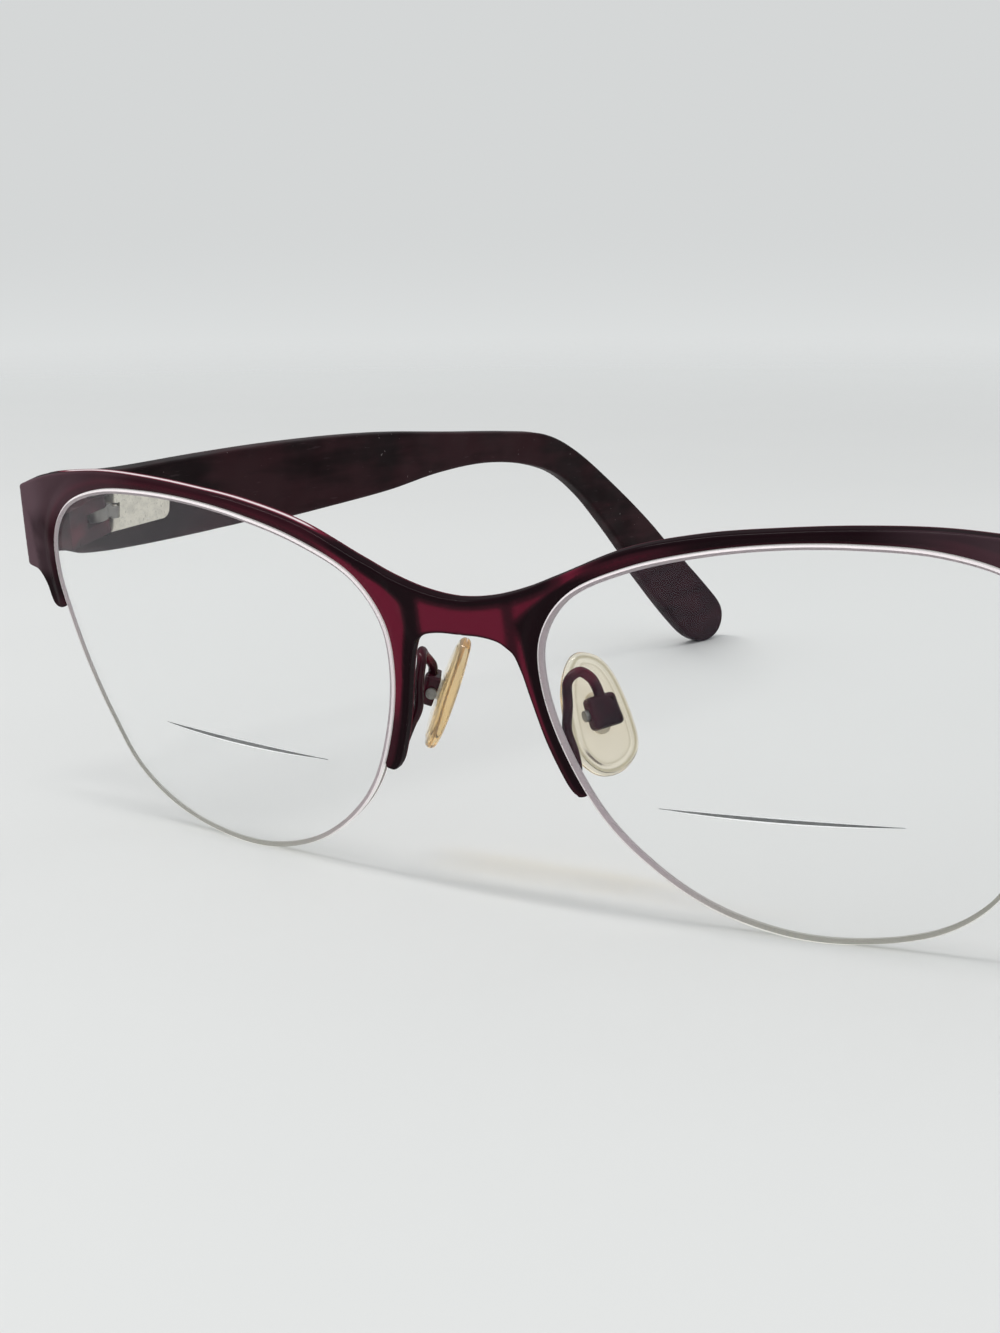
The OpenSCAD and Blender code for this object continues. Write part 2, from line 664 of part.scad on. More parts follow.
module hinge_slider() {
    neck_x = knuckle_r * 0.6;
    neck_y = knuckle_r + 0.3;
    color(silver) difference() {
        union() {
            at_pivot() translate([0, 0, -eye_h / 2]) {
                cylinder(h = eye_h, r = knuckle_r, $fn = round_fn);
                translate([-neck_x, 0, 0]) cube([neck_x + knuckle_r, neck_y + 0.2, eye_h]);
            }
            on_temple() {
                translate([-neck_x, neck_y, -shank_h / 2])
                    cube([bore_x + neck_x + shank_h / 2, housing_gap - neck_y - 0.2, shank_h]);
                translate([bore_x - shank_h / 2, housing_gap - 0.4, -shank_h / 2])
                    cube([shank_h, mouth_t, shank_h]);
                translate([bore_x, housing_gap, 0]) rotate([-90, 0, 0])
                    cylinder(h = retainer_y - housing_gap + retainer_t, r = stem_d / 2,
                        $fn = round_fn);
            }
        }
        translate(pivot) cylinder(h = 20, r = screw_d / 2 + running_fit, center = true,
            $fn = round_fn);
    }
}
module spring_retainer() {
    color(silver) on_temple() translate([bore_x, retainer_y, 0]) rotate([-90, 0, 0]) difference() {
        cylinder(h = retainer_t, r = bore_d / 2 - running_fit, $fn = round_fn);
        translate([0, 0, -1]) cylinder(h = 3, r = stem_d / 2 + seat_fit, $fn = round_fn);
    }
}
module hinge_spring() {
    coil_r = stem_d / 2 + running_fit + spring_wire_d / 2;
    rings = 12;
    pitch = (spring_len - spring_wire_d) / spring_turns;
    line = [
        for (i = [0 : spring_turns * rings])
            [
                bore_x + coil_r * cos(360 * i / rings),
                spring_y0 + spring_wire_d / 2 + pitch * i / rings,
                coil_r * sin(360 * i / rings)
            ]
    ];
    color(silver) on_temple() tube(line, spring_wire_d / 2, 6, [0, 1, 0]);
}
module hinge_housing() {
    color(silver) on_temple() difference() {
        sideways(housing_outline(0), housing_x0, housing_x1);
        translate([bore_x, housing_gap + mouth_t, 0]) rotate([-90, 0, 0])
            cylinder(h = housing_len - mouth_t - bore_end, r = bore_d / 2, $fn = round_fn);
        translate([bore_x - mouth_w / 2, housing_gap - 1, -mouth_w / 2])
            cube([mouth_w, mouth_t + 1 + 0.01, mouth_w]);
    }
}

// Temple with its pocket for the housing and the channel for the core
module temple() {
    ear = ear_at * 0.55;
    tail = temple_len + 10;
    slim = temple_x0 + temple_mid_t;
    ahead = 5;
    cut_len = ahead + housing_gap + 0.1;
    color(acetate) on_temple() difference() {
        intersection() {
            sideways(temple_outline, temple_x0, temple_x1);
            translate([0, 0, -60]) linear_extrude(height = far) polygon([
                [temple_x0, -10], [temple_x0, tail], [slim, tail], [slim, ear], [temple_x1, 14],
                [temple_x1, -10]
            ]);
        }
        sideways(housing_outline(seat_fit), temple_x0 - 1, housing_x1 + seat_fit);
        translate([temple_x0 - 1, -ahead, -slot_h / 2])
            cube([bore_x - temple_x0 + 1 + slot_h / 2, cut_len, slot_h]);
        translate([temple_x0 - 1, -ahead, -pocket_h / 2])
            cube([pocket_t + 1, cut_len, pocket_h]);
        sideways(ribbon(core_line, core_w / 2 + seat_fit), core_x0 - seat_fit,
            core_x0 + core_t + seat_fit);
    }
}
module temple_core() {
    color(silver) on_temple() sideways(ribbon(core_line, core_w / 2), core_x0, core_x0 + core_t);
}

worn() front_frame();
left() lens();  // lens_left
right() lens();  // lens_right
left() rim_liner();  // rim_liner_left
right() rim_liner();  // rim_liner_right
left() nylon_cord();  // nylon_cord_left
right() nylon_cord();  // nylon_cord_right
left() pad_arm();  // pad_arm_left
right() pad_arm();  // pad_arm_right
left() pad_box();  // pad_box_left
right() pad_box();  // pad_box_right
left() pad_screw();  // pad_screw_left
right() pad_screw();  // pad_screw_right
left() pad_insert();  // pad_insert_left
right() pad_insert();  // pad_insert_right
left() nose_pad();  // nose_pad_left
right() nose_pad();  // nose_pad_right
left() hinge_block();  // hinge_block_left
right() hinge_block();  // hinge_block_right
left() hinge_screw();  // hinge_screw_left
right() hinge_screw();  // hinge_screw_right
left() hinge_slider();  // hinge_slider_left
right() hinge_slider();  // hinge_slider_right
left() hinge_spring();  // hinge_spring_left
right() hinge_spring();  // hinge_spring_right
left() spring_retainer();  // spring_retainer_left
right() spring_retainer();  // spring_retainer_right
left() hinge_housing();  // hinge_housing_left
right() hinge_housing();  // hinge_housing_right
left() temple();  // temple_left
right() temple();  // temple_right
left() temple_core();  // temple_core_left
right() temple_core();  // temple_core_right
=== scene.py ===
import math

import bpy
import numpy as np
from bpy.props import FloatProperty
from bpy.props import FloatVectorProperty
from bpy.props import PointerProperty
from mathutils import Matrix
from mathutils import Vector
from mathutils.geometry import delaunay_2d_cdt


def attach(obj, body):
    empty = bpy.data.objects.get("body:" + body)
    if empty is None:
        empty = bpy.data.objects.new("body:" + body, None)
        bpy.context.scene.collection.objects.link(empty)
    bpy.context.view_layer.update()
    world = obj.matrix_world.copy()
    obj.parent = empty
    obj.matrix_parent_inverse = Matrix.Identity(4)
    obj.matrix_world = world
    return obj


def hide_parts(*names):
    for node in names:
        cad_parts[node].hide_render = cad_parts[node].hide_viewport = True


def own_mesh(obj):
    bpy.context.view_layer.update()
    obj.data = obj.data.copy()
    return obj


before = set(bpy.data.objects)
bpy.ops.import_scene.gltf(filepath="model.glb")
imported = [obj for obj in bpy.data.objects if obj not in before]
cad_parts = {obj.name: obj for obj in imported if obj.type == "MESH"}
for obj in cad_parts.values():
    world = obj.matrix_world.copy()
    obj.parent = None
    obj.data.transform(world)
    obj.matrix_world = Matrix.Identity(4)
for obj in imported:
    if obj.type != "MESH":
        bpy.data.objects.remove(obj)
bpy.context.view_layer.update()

bl_info = {
    "name": "Half-rim cat eye glasses",
    "version": (1, 0, 0),
    "blender": (4, 5, 0),
    "location": "View3D > Sidebar > Glasses",
    "description": "Smooth pieces and finishes for half-rim cat eye glasses",
    "category": "Object",
}

# Sizes are in millimetres in the wearer's frame: X across the face, Y back, Z up in the lens plane
MM = 1000.0
SIDES = (("left", 1), ("right", -1))

# The ball that the front and the lenses follow
FACE_R = 267.0
BALL_Z = -2.4

# How the pair stands on the table
TILT = math.radians(14.4893)
STAND_Y = -71.985
STAND_Z = 19.5826

# Lens
LENS_X = 34.9
LENS_W = 52.0
LENS_KNOTS = [
    (0, 20.7), (7.6, 20.8), (15, 20.1), (21.3, 17.9), (25, 14), (26, 9), (25.2, 3.5),
    (23.6, -2.8), (21.3, -9), (18.2, -15), (12.5, -19.1), (5, -20.8), (-2.5, -20.7),
    (-10, -18.5), (-16.2, -14.5), (-21, -9.2), (-24.3, -2.2), (-25.9, 4.6), (-25.4, 10.3),
    (-21.8, 15), (-15.1, 18), (-7.5, 19.8),
]
KNOT_STEPS = 16
LENS_POWER = 0.00104
SEGMENT_X = LENS_X - 2.1
SEGMENT_TOP = -7.2
SEGMENT_Z = -12.2
SEGMENT_HALF = 14.0
SEGMENT_R = 104.0
SEGMENT_REACH = math.sqrt(SEGMENT_HALF**2 - (SEGMENT_TOP - SEGMENT_Z) ** 2)

# Lines of the ledge on top of the reading segment: its lift at the ends and the added lift in the middle
# The bands between these lines carry the ledge's painted dark line and painted highlight lines.
LEDGE_LINES = ((0.02, 0.12), (-0.03, -0.07), (-0.03, -0.20))
LEDGE_POINTS = 61

# Front
RIM_DEPTH = 1.6
BROW_H = 1.2
ARM_W = 1.7
BRIDGE_LOW = 9.5
BRIDGE_TOP = 13.3
END_REACH = 5.7
END_LOW = 8.7
END_HIGH = 18.4
WALL_T = 1.0
WALL_X = LENS_X + LENS_W / 2 + END_REACH
WALL_ROOT_Y = 9.232
WALL_TAIL_Y = 18.022
WALL_SPLAY = math.radians(15)
WALL_LEAN = math.radians(7)
WALL_Z = 13.55
BEND_R = 1.2
RIM_START = 15.4
RIM_END = 27.82
LIP_DEPTH = 0.52
LENS_PROUD = 0.1
GROOVE = 0.6
RIM_GROOVE = 0.52
RIM_GROOVE_FROM = 0.50
RIM_GROOVE_TO = 1.10
GROOVE_SLOPE = 0.04
OUTLINE_GAP = 0.33

# Hinge and temple
PIVOT = np.array([63.8966, 20.0, 10.9])
TEMPLE_IN = math.radians(9.2)
TEMPLE_DROP = math.radians(15.4)
TEMPLE_X0 = 1.3
TEMPLE_T = 3.5
TEMPLE_SLIM = 2.7
SLIM_FROM = 14.0
SLIM_TO = 46.2
TEMPLE_FRONT = -1.8284
HOUSING_X0 = 0.5
HOUSING_T = 2.6
HOUSING_Y0 = 2.8
HOUSING_Y1 = 11.4
HOUSING_H = 5.2
HOUSING_RISE = 0.75
HOUSING_WALL = 1.0
HOUSING_END = 0.8
HOUSING_UNDER_R = 1.1
HOUSING_OVER_R = 0.6
BORE_X = 1.8
BORE_R = 0.9
SLOT_R = 0.75
SEAT_FIT = 0.02
STEM_R = 0.45
RUNNING_FIT = 0.05
SPRING_WIRE_R = 0.15
SPRING_TURNS = 7
SPRING_Y0 = HOUSING_Y0 + HOUSING_WALL + SEAT_FIT
COLLAR_T = 0.6
COLLAR_TRAVEL = 1.1

# Nose pad
PAD_CENTRE = np.array([9.5, 9.6, -2.0])
PAD_LEN = 13.0
PAD_W = 7.5
PAD_T = 1.8
PAD_BALL_R = 80.0
PAD_STEP = 0.12
PAD_ROUND = 0.6
BOX_W = 3.4
BOX_L = 3.4
BOX_D = 1.7
BOX_Z0 = 1.2
BOX_WALL = 0.5
BOX_BACK = 0.3
BOX_CORNER = 0.55
LUG_R = 0.8
PAD_SCREW_Z = BOX_Z0 + BOX_D - BOX_BACK - LUG_R - RUNNING_FIT
SCREW_HOLE_R = 0.37
WIRE_R = 0.55

# Camera in the wearer's frame: its place, its turns, and its focal length in widths of the picture
CAMERA_PLACE = [126.3, -171.8, 96.6]
CAMERA_AZIMUTH = math.radians(35.3)
CAMERA_DOWN = math.radians(23.1)
CAMERA_ROLL = math.radians(-8.9)
CAMERA_FOCAL = 2.3
SENSOR_W = 36.0

# Faces that meet at more than this keep a sharp edge between them
SHARP = math.radians(40)


def catmull(knots, steps, closed=False):
    """Points of a smooth curve through the knots."""
    k = np.array(knots, float)
    if closed:
        k = np.vstack([k[-1], k, k[0], k[1]])
    else:
        k = np.vstack([2 * k[0] - k[1], k, 2 * k[-1] - k[-2]])
    t = (np.arange(steps) / steps)[:, None]
    out = []
    for a, b, c, d in zip(k[:-3], k[1:-2], k[2:-1], k[3:]):
        out.append(0.5 * (2 * b + (c - a) * t + (2 * a - 5 * b + 4 * c - d) * t**2
                          + (3 * b - a - 3 * c + d) * t**3))
    points = np.vstack(out)
    return points if closed else np.vstack([points, k[-2]])


def unit(v):
    v = np.asarray(v, float)
    return v / np.linalg.norm(v, axis=-1, keepdims=True)


def smooth(x, low, high):
    """0 below low, 1 above high, and an even step between them."""
    t = np.clip((np.asarray(x, float) - low) / (high - low), 0, 1)
    return t * t * (3 - 2 * t)


def mix(a, b, t):
    return a + (b - a) * t


def face_y(x, z, back):
    """How far back the front's ball lies, that much behind its own surface."""
    r = FACE_R - back
    return FACE_R - np.sqrt(r * r - x * x - (z - BALL_Z) ** 2)


def worn(points):
    """Wearer's frame in millimetres to the scene in metres."""
    p = np.asarray(points, float)
    c = math.cos(TILT)
    s = math.sin(TILT)
    y = p[:, 1] * c - p[:, 2] * s + STAND_Y
    z = p[:, 1] * s + p[:, 2] * c + STAND_Z
    return np.column_stack([p[:, 0], y, z]) / MM


def temple_to_face(points):
    """Temple's frame, X out, Y along it and Z up, to the wearer's frame."""
    p = np.asarray(points, float)
    cd = math.cos(TEMPLE_DROP)
    sd = math.sin(TEMPLE_DROP)
    ci = math.cos(TEMPLE_IN)
    si = math.sin(TEMPLE_IN)
    y = p[:, 1] * cd + p[:, 2] * sd
    z = -p[:, 1] * sd + p[:, 2] * cd
    return PIVOT + np.column_stack([p[:, 0] * ci - y * si, p[:, 0] * si + y * ci, z])


PAD_UP = unit([-0.367, 0.272, 0.884])
PAD_ACROSS = unit(np.cross(PAD_UP, [0.775, -0.454, 0.431]))
PAD_OUT = np.cross(PAD_ACROSS, PAD_UP)


def pad_to_face(points):
    """Pad's frame, X across, Y up it and Z out of its back, to the wearer's frame."""
    p = np.asarray(points, float)
    return PAD_CENTRE + p[:, :1] * PAD_ACROSS + p[:, 1:2] * PAD_UP + p[:, 2:3] * PAD_OUT


LENS_LINE = catmull(LENS_KNOTS, KNOT_STEPS, True) + [LENS_X, 0]
LENS_COUNT = len(LENS_LINE)
LENS_STEP = np.roll(LENS_LINE, -1, 0) - np.roll(LENS_LINE, 1, 0)
LENS_OUT = unit(np.column_stack([-LENS_STEP[:, 1], LENS_STEP[:, 0]]))


def lens_edge(knots, offset):
    """Points beside the lens edge, at places counted in knots."""
    i = np.round(np.asarray(knots, float) * KNOT_STEPS).astype(int) % LENS_COUNT
    return LENS_LINE[i] + np.asarray(offset, float)[..., None] * LENS_OUT[i]


def around(turn):
    """Points of a circle of radius 1, at those angles."""
    return np.column_stack([np.cos(turn), np.sin(turn)])


def nearest_on_lens(points):
    """For each point, the number of the nearest point of the lens edge."""
    return np.argmin(((points[:, None] - LENS_LINE[None]) ** 2).sum(2), axis=1)


def upright(flat, y):
    """Points of the lens plane, X and Z, set that far back."""
    return np.column_stack([flat[:, 0], y, flat[:, 1]])


def line_distance(points, line, closed=False):
    """Distance of each point from a line of points."""
    a = line if closed else line[:-1]
    b = np.roll(line, -1, 0) if closed else line[1:]
    d = b - a
    size = np.maximum((d * d).sum(1), 1e-12)
    best = np.full(len(points), 1e9)
    for start in range(0, len(points), 2000):
        p = points[start:start + 2000, None, :]
        t = np.clip(((p - a) * d).sum(2) / size, 0, 1)
        gap = p - a - t[..., None] * d
        best[start:start + 2000] = np.sqrt((gap * gap).sum(2).min(1))
    return best


def inside(points, loop):
    """Which points lie inside a closed line."""
    hit = np.zeros(len(points), bool)
    x, y = points[:, 0], points[:, 1]
    for (ax, ay), (bx, by) in zip(loop, np.roll(loop, -1, 0)):
        if ay == by:
            continue
        crosses = (ay > y) != (by > y)
        hit ^= crosses & (x < (bx - ax) * (y - ay) / (by - ay) + ax)
    return hit


def even(line, gap, closed=False):
    """The same line with points about that far apart."""
    line = np.asarray(line, float)
    if closed:
        line = np.vstack([line, line[:1]])
    size = np.concatenate([[0], np.cumsum(np.linalg.norm(np.diff(line, axis=0), axis=1))])
    n = max(2, int(round(size[-1] / gap)) + 1)
    at = np.linspace(0, size[-1], n)
    out = np.column_stack([np.interp(at, size, line[:, i]) for i in range(line.shape[1])])
    return out[:-1] if closed else out


def sheet_mesh(loop, rings, spacing, rows=(), cuts=()):
    """Triangles over a counterclockwise loop: rows of points along its edge, then an even field."""
    n = len(loop)
    step = np.roll(loop, -1, 0) - np.roll(loop, 1, 0)
    inward = unit(np.column_stack([-step[:, 1], step[:, 0]]))
    points = [loop]
    edges = [(i, (i + 1) % n) for i in range(n)]
    count = n
    for cut in cuts:
        edges += [(count + i, count + i + 1) for i in range(len(cut) - 1)]
        points.append(cut)
        count += len(cut)
    before = 0.0
    for d in rings:
        ring = loop + d * inward
        keep = line_distance(ring, loop, True) > 0.97 * d
        points.append(thinned(ring[keep & inside(ring, loop)], 0.6 * (d - before)))
        before = d
    for row in rows:
        clear = (line_distance(row, loop, True) > before + 0.1) & inside(row, loop)
        row = thinned(row[clear], 0.5 * spacing)
        points.append(row)
    taken = np.vstack(points)
    low = loop.min(0)
    high = loop.max(0)
    xs = np.arange(low[0], high[0], spacing)
    ys = np.arange(low[1], high[1], spacing * 0.866)
    gx, gy = np.meshgrid(xs, ys)
    gx = gx + np.where(np.arange(len(ys)) % 2, spacing / 2, 0)[:, None]
    field = np.column_stack([gx.ravel(), gy.ravel()])
    field = field[inside(field, loop)]
    field = field[line_distance(field, loop, True) > before + 0.4 * spacing]
    points.append(clear_of(field, taken, 0.6 * spacing))
    every = np.vstack(points)
    made = delaunay_2d_cdt([Vector(p) for p in every], edges, [], 1, 1e-6)
    flat = np.array([v[:] for v in made[0]])
    tris = np.array(made[2])
    a, b, c = flat[tris[:, 0]], flat[tris[:, 1]], flat[tris[:, 2]]
    area = (b[:, 0] - a[:, 0]) * (c[:, 1] - a[:, 1]) - (b[:, 1] - a[:, 1]) * (c[:, 0] - a[:, 0])
    tris[area < 0] = tris[area < 0][:, ::-1]
    return flat, tris, edge_loop(tris)


def thinned(points, gap):
    """Points of a row that aren't closer to the one before than that."""
    kept = []
    for p in points:
        if not kept or np.linalg.norm(p - kept[-1]) > gap:
            kept.append(p)
    return np.array(kept).reshape(-1, 2)


def clear_of(points, others, gap):
    """Points that aren't closer to any of the others than that."""
    keep = np.ones(len(points), bool)
    for start in range(0, len(points), 500):
        d = points[start:start + 500, None, :] - others[None]
        keep[start:start + 500] = (d * d).sum(2).min(1) > gap * gap
    return points[keep]


def edge_loop(tris):
    """The edge of a patch of triangles, in order."""
    seen = {(t[i], t[(i + 1) % 3]) for t in tris.tolist() for i in range(3)}
    follow = {a: b for a, b in seen if (b, a) not in seen}
    start = min(follow)
    loop = [start]
    while follow[loop[-1]] != start:
        loop.append(follow[loop[-1]])
    if len(loop) != len(follow):
        raise RuntimeError("a sheet has more than one edge")
    return np.array(loop)


def slab(tris, loop, front, back, rows):
    """A closed body from a front and a back over the same triangles, with rows of points between."""
    n = len(front)
    verts = [front, back, *rows]
    faces = [tuple(t) for t in tris] + [tuple(n + i for i in t[::-1]) for t in tris.tolist()]
    m = len(loop)
    columns = [loop] + [2 * n + k * m + np.arange(m) for k in range(len(rows))] + [n + loop]
    for upper, lower in zip(columns, columns[1:]):
        for i in range(m):
            j = (i + 1) % m
            faces.append((upper[i], lower[i], lower[j], upper[j]))
    return np.vstack(verts), faces


def tube(path, radii, sides, flat=1.0, up=(0, 0, 1)):
    """A closed round bar along a line of points, flattened by a share."""
    path = np.asarray(path, float)
    n = len(path)
    radii = np.broadcast_to(radii, n)
    tangent = unit(np.vstack([path[1] - path[0], path[2:] - path[:-2], path[-1] - path[-2]]))
    normal = np.array(up, float)
    angle = 2 * math.pi * np.arange(sides) / sides
    rings = []
    for p, t, r in zip(path, tangent, radii):
        normal = unit(normal - t * (normal @ t))
        side = np.cross(t, normal)
        rings.append(p + r * (np.cos(angle)[:, None] * normal * flat + np.sin(angle)[:, None] * side))
    verts = np.vstack(rings + [path[:1], path[-1:]])
    faces = []
    for i in range(n - 1):
        for s in range(sides):
            a = i * sides + s
            b = i * sides + (s + 1) % sides
            faces.append((a, b, b + sides, a + sides))
    last = (n - 1) * sides
    for s in range(sides):
        e = (s + 1) % sides
        faces.append((n * sides, e, s))
        faces.append((n * sides + 1, last + s, last + e))
    return verts, faces


def moved(body, placed=temple_to_face):
    """A body taken from its own frame to the wearer's."""
    return placed(body[0]), body[1]


def rounded_ends(path, r, steps=5):
    """A path and its radii with both ends closed as half balls."""
    path = np.asarray(path, float)
    first = unit(path[1] - path[0])
    last = unit(path[-1] - path[-2])
    turn = np.linspace(0.08, math.pi / 2, steps)
    head = [path[0] - first * r * math.cos(a) for a in turn[:-1]]
    tail = [path[-1] + last * r * math.cos(a) for a in turn[:-1][::-1]]
    ends = [r * math.sin(a) for a in turn[:-1]]
    radii = np.concatenate([ends, np.full(len(path), r), ends[::-1]])
    return np.vstack([head, path, tail]), radii


def piece(name, verts, faces, sign, body, slot, finishes, nodes=(), shades=None, finish_of=None, angle=38):
    """One mesh object from points in the wearer's frame. The right side is mirrored."""
    co = np.array(verts, float)
    co[:, 0] *= sign
    faces = [tuple(int(i) for i in f) for f in faces]
    if sign < 0:
        faces = [f[::-1] for f in faces]
    mesh = bpy.data.meshes.new(name)
    mesh.from_pydata(worn(co).tolist(), [], faces)
    for key, values in (shades or {}).items():
        layer = mesh.attributes.new(key, "FLOAT", "POINT")
        layer.data.foreach_set("value", np.asarray(values, np.float32))
    for finish in finishes:
        mesh.materials.append(finish)
    if finish_of is not None:
        mesh.polygons.foreach_set("material_index", np.asarray(finish_of, np.int32))
    mesh.polygons.foreach_set("use_smooth", [True] * len(faces))
    mesh.set_sharp_from_angle(angle=math.radians(angle))
    mesh.update()
    thing = bpy.data.objects.new(name, mesh)
    bpy.context.scene.collection.objects.link(thing)
    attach(thing, body)
    if nodes:
        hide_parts(*nodes)
    return thing


def drop(d, r):
    """How far a rounded edge of that radius falls away, d in from the edge."""
    inner = np.clip(r - d, 0, r)
    return r - np.sqrt(np.maximum(r * r - inner * inner, 0))


class Wire:
    """A shader socket that takes part in sums."""

    def __init__(self, maker, socket):
        self.maker = maker
        self.socket = socket

    def join(self, operation, first, second):
        return self.maker.node("ShaderNodeMath", {"operation": operation}, {0: first, 1: second})

    def __add__(self, other):
        return self.join("ADD", self, other)

    __radd__ = __add__

    def __sub__(self, other):
        return self.join("SUBTRACT", self, other)

    def __rsub__(self, other):
        return self.join("SUBTRACT", other, self)

    def __mul__(self, other):
        return self.join("MULTIPLY", self, other)

    __rmul__ = __mul__


class Finish:
    """The nodes of a material, or of the world, under construction."""

    def __init__(self, name, owner=None):
        self.material = owner or bpy.data.materials.new(name)
        self.material.use_nodes = True
        self.tree = self.material.node_tree
        self.tree.nodes.clear()

    def node(self, kind, settings=None, inputs=None, output=0):
        made = self.tree.nodes.new(kind)
        for key, value in (settings or {}).items():
            setattr(made, key, value)
        for key, value in (inputs or {}).items():
            if isinstance(value, Wire):
                self.tree.links.new(value.socket, made.inputs[key])
            else:
                made.inputs[key].default_value = value
        return Wire(self, made.outputs[output]) if made.outputs else None

    def place(self, scale=(1, 1, 1), turn=(0, 0, 0)):
        """Object coordinates in millimetres, turned and stretched."""
        at = self.node("ShaderNodeTexCoord", output="Object")
        size = [MM * s for s in scale]
        return self.node("ShaderNodeMapping", {}, {"Vector": at, "Rotation": turn, "Scale": size})

    def noise(self, at, scale, detail=3, rough=0.5):
        values = {"Vector": at, "Scale": scale, "Detail": detail, "Roughness": rough}
        return self.node("ShaderNodeTexNoise", {}, values, "Fac")

    def step(self, value, low, high, to_low=0.0, to_high=1.0):
        """value eased from one range to another, and held beyond it."""
        values = {"Value": value, "From Min": low, "From Max": high, "To Min": to_low, "To Max": to_high}
        return self.node("ShaderNodeMapRange", {"interpolation_type": "SMOOTHSTEP"}, values)

    def blend(self, share, first, second):
        values = {"Factor": share, 6: solid(first), 7: solid(second)}
        return self.node("ShaderNodeMix", {"data_type": "RGBA"}, values, 2)

    def attribute(self, name):
        return self.node("ShaderNodeAttribute", {"attribute_name": name}, output="Fac")

    def bump(self, height, strength, distance):
        values = {"Height": height, "Strength": strength, "Distance": distance / MM}
        return self.node("ShaderNodeBump", {}, values)

    def principled(self, inputs):
        return self.node("ShaderNodeBsdfPrincipled", {}, inputs)

    def finish(self, shader):
        self.node("ShaderNodeOutputMaterial", {}, {"Surface": shader})
        return self.material


def dimmed(colour, share):
    return [share * c for c in colour]


def solid(colour):
    return colour if isinstance(colour, Wire) else (*colour[:3], 1.0)


def enamel_finish(name, colours, from_shape):
    """Wine-red enamel with painted light and shade: almost black in the painted shade of folds and edges,
    bright where light is painted on the broad faces.
    """
    f = Finish(name)
    at = f.place()
    cloud = f.noise(at, 0.22, 2)
    # From the shape, the level carries painted light and shade; on the small parts it only varies at
    # random.
    level = f.attribute("shade") if from_shape else f.step(cloud, 0.35, 0.75, 0.15, 0.75)
    level = level + (cloud - 0.5) * 0.16
    paint = f.blend(f.step(level, 0.0, 0.5), colours.enamel_dark, colours.enamel_mid)
    paint = f.blend(f.step(level, 0.45, 1.0), paint, colours.enamel_bright)
    # Above 1.2 the paint turns to the pale pink of the painted highlight.
    paint = f.blend(f.step(level, 1.2, 2.0), paint, colours.enamel_painted_light)
    # A painted reflection lays a greyish sheen over the end pieces.
    if from_shape:
        paint = f.blend(f.attribute("painted_reflection"), paint, colours.enamel_painted_reflection)
    scuff = f.noise(f.place((0.6, 3.0, 3.0), (0.3, 0.2, 0.5)), 2.4, 5, 0.7)
    worn_line = f.step(scuff, 0.70, 0.74)
    paint = f.blend(worn_line * 0.10, paint, (0.30, 0.22, 0.24))
    gloss = f.step(scuff, 0.40, 0.75, 0.20, 0.34)
    peel = f.noise(at, 1.2, 2)
    return f.finish(f.principled({
        "Base Color": paint, "Roughness": gloss, "Coat Weight": 0.14 if from_shape else 0.4,
        "Coat Roughness": 0.10 if from_shape else 0.05, "Specular IOR Level": 0.0,
        "Normal": f.bump(peel, 0.10, 0.05),
    }))


def acetate_finish(name, colours):
    """Polished plum plastic, with long faint streaks, smudges and a few specks of dust."""
    f = Finish(name)
    streak = f.noise(f.place((0.7, 0.05, 0.7), (0.02, 0.0, 0.16)), 0.8, 2, 0.5)
    cloud = f.noise(f.place(), 0.07, 3)
    warm = f.step(streak * 0.35 + cloud * 0.65, 0.40, 0.62)
    base = f.blend(warm, colours.temple_dark, colours.temple_warm)
    thread = f.step(f.noise(f.place((2.0, 0.03, 2.0), (0.02, 0.0, 0.16)), 1.2, 2), 0.66, 0.76)
    base = f.blend(thread * 0.10, base, (0.16, 0.12, 0.13))
    speck = f.step(f.noise(f.place(), 1.7, 1), 0.775, 0.80)
    base = f.blend(speck * 0.35, base, (0.30, 0.26, 0.26))
    smudge = f.noise(f.place(), 0.25, 5, 0.65)
    gloss = f.step(smudge, 0.35, 0.7, 0.16, 0.06)
    scratch = f.noise(f.place((0.5, 0.05, 3.0), (0.2, 0.1, 0.25)), 3.0, 4, 0.7)
    return f.finish(f.principled({
        "Base Color": base, "Roughness": 0.5, "Specular IOR Level": 0.02, "Coat Weight": gloss,
        "Coat Roughness": 0.2, "Normal": f.bump(scratch, 0.08, 0.04),
    }))


def metal_finish(name, colours):
    """Satin silver metal, brushed along the temple, with fine scratches and dull spots."""
    f = Finish(name)
    brush = f.noise(f.place((6.0, 0.35, 6.0)), 2.0, 3, 0.6)
    spot = f.noise(f.place(), 0.9, 4, 0.6)
    scratch = f.step(f.noise(f.place((0.5, 4.5, 1.6), (0.6, 0.2, 0.9)), 1.9, 2, 0.6), 0.63, 0.67)
    nick = f.step(f.noise(f.place((4.0, 0.5, 1.4), (0.2, 0.5, 0.3)), 1.7, 2, 0.6), 0.66, 0.69)
    tone = f.blend(f.step(spot, 0.35, 0.7), colours.metal, dimmed(colours.metal, 0.84))
    tone = f.blend(scratch * 0.6, tone, (0.26, 0.24, 0.20))
    tone = f.blend(nick * 0.5, tone, (0.92, 0.90, 0.86))
    gloss = f.step(brush * 0.5 + spot * 0.5, 0.35, 0.65, 0.34, 0.5)
    return f.finish(f.principled({
        "Base Color": tone, "Roughness": gloss, "Metallic": 0.8, "Normal": f.bump(brush, 0.2, 0.03),
    }))


def steel_finish(name, colours):
    """Dull grey steel of the small screws, with turning marks."""
    f = Finish(name)
    ring = f.noise(f.place((1.0, 5.0, 5.0)), 3.0, 3, 0.6)
    tone = f.blend(f.step(ring, 0.35, 0.65), colours.steel, dimmed(colours.steel, 0.6))
    gloss = f.step(ring, 0.3, 0.7, 0.32, 0.48)
    return f.finish(f.principled({
        "Base Color": tone, "Roughness": gloss, "Metallic": 0.7, "Normal": f.bump(ring, 0.15, 0.02),
    }))


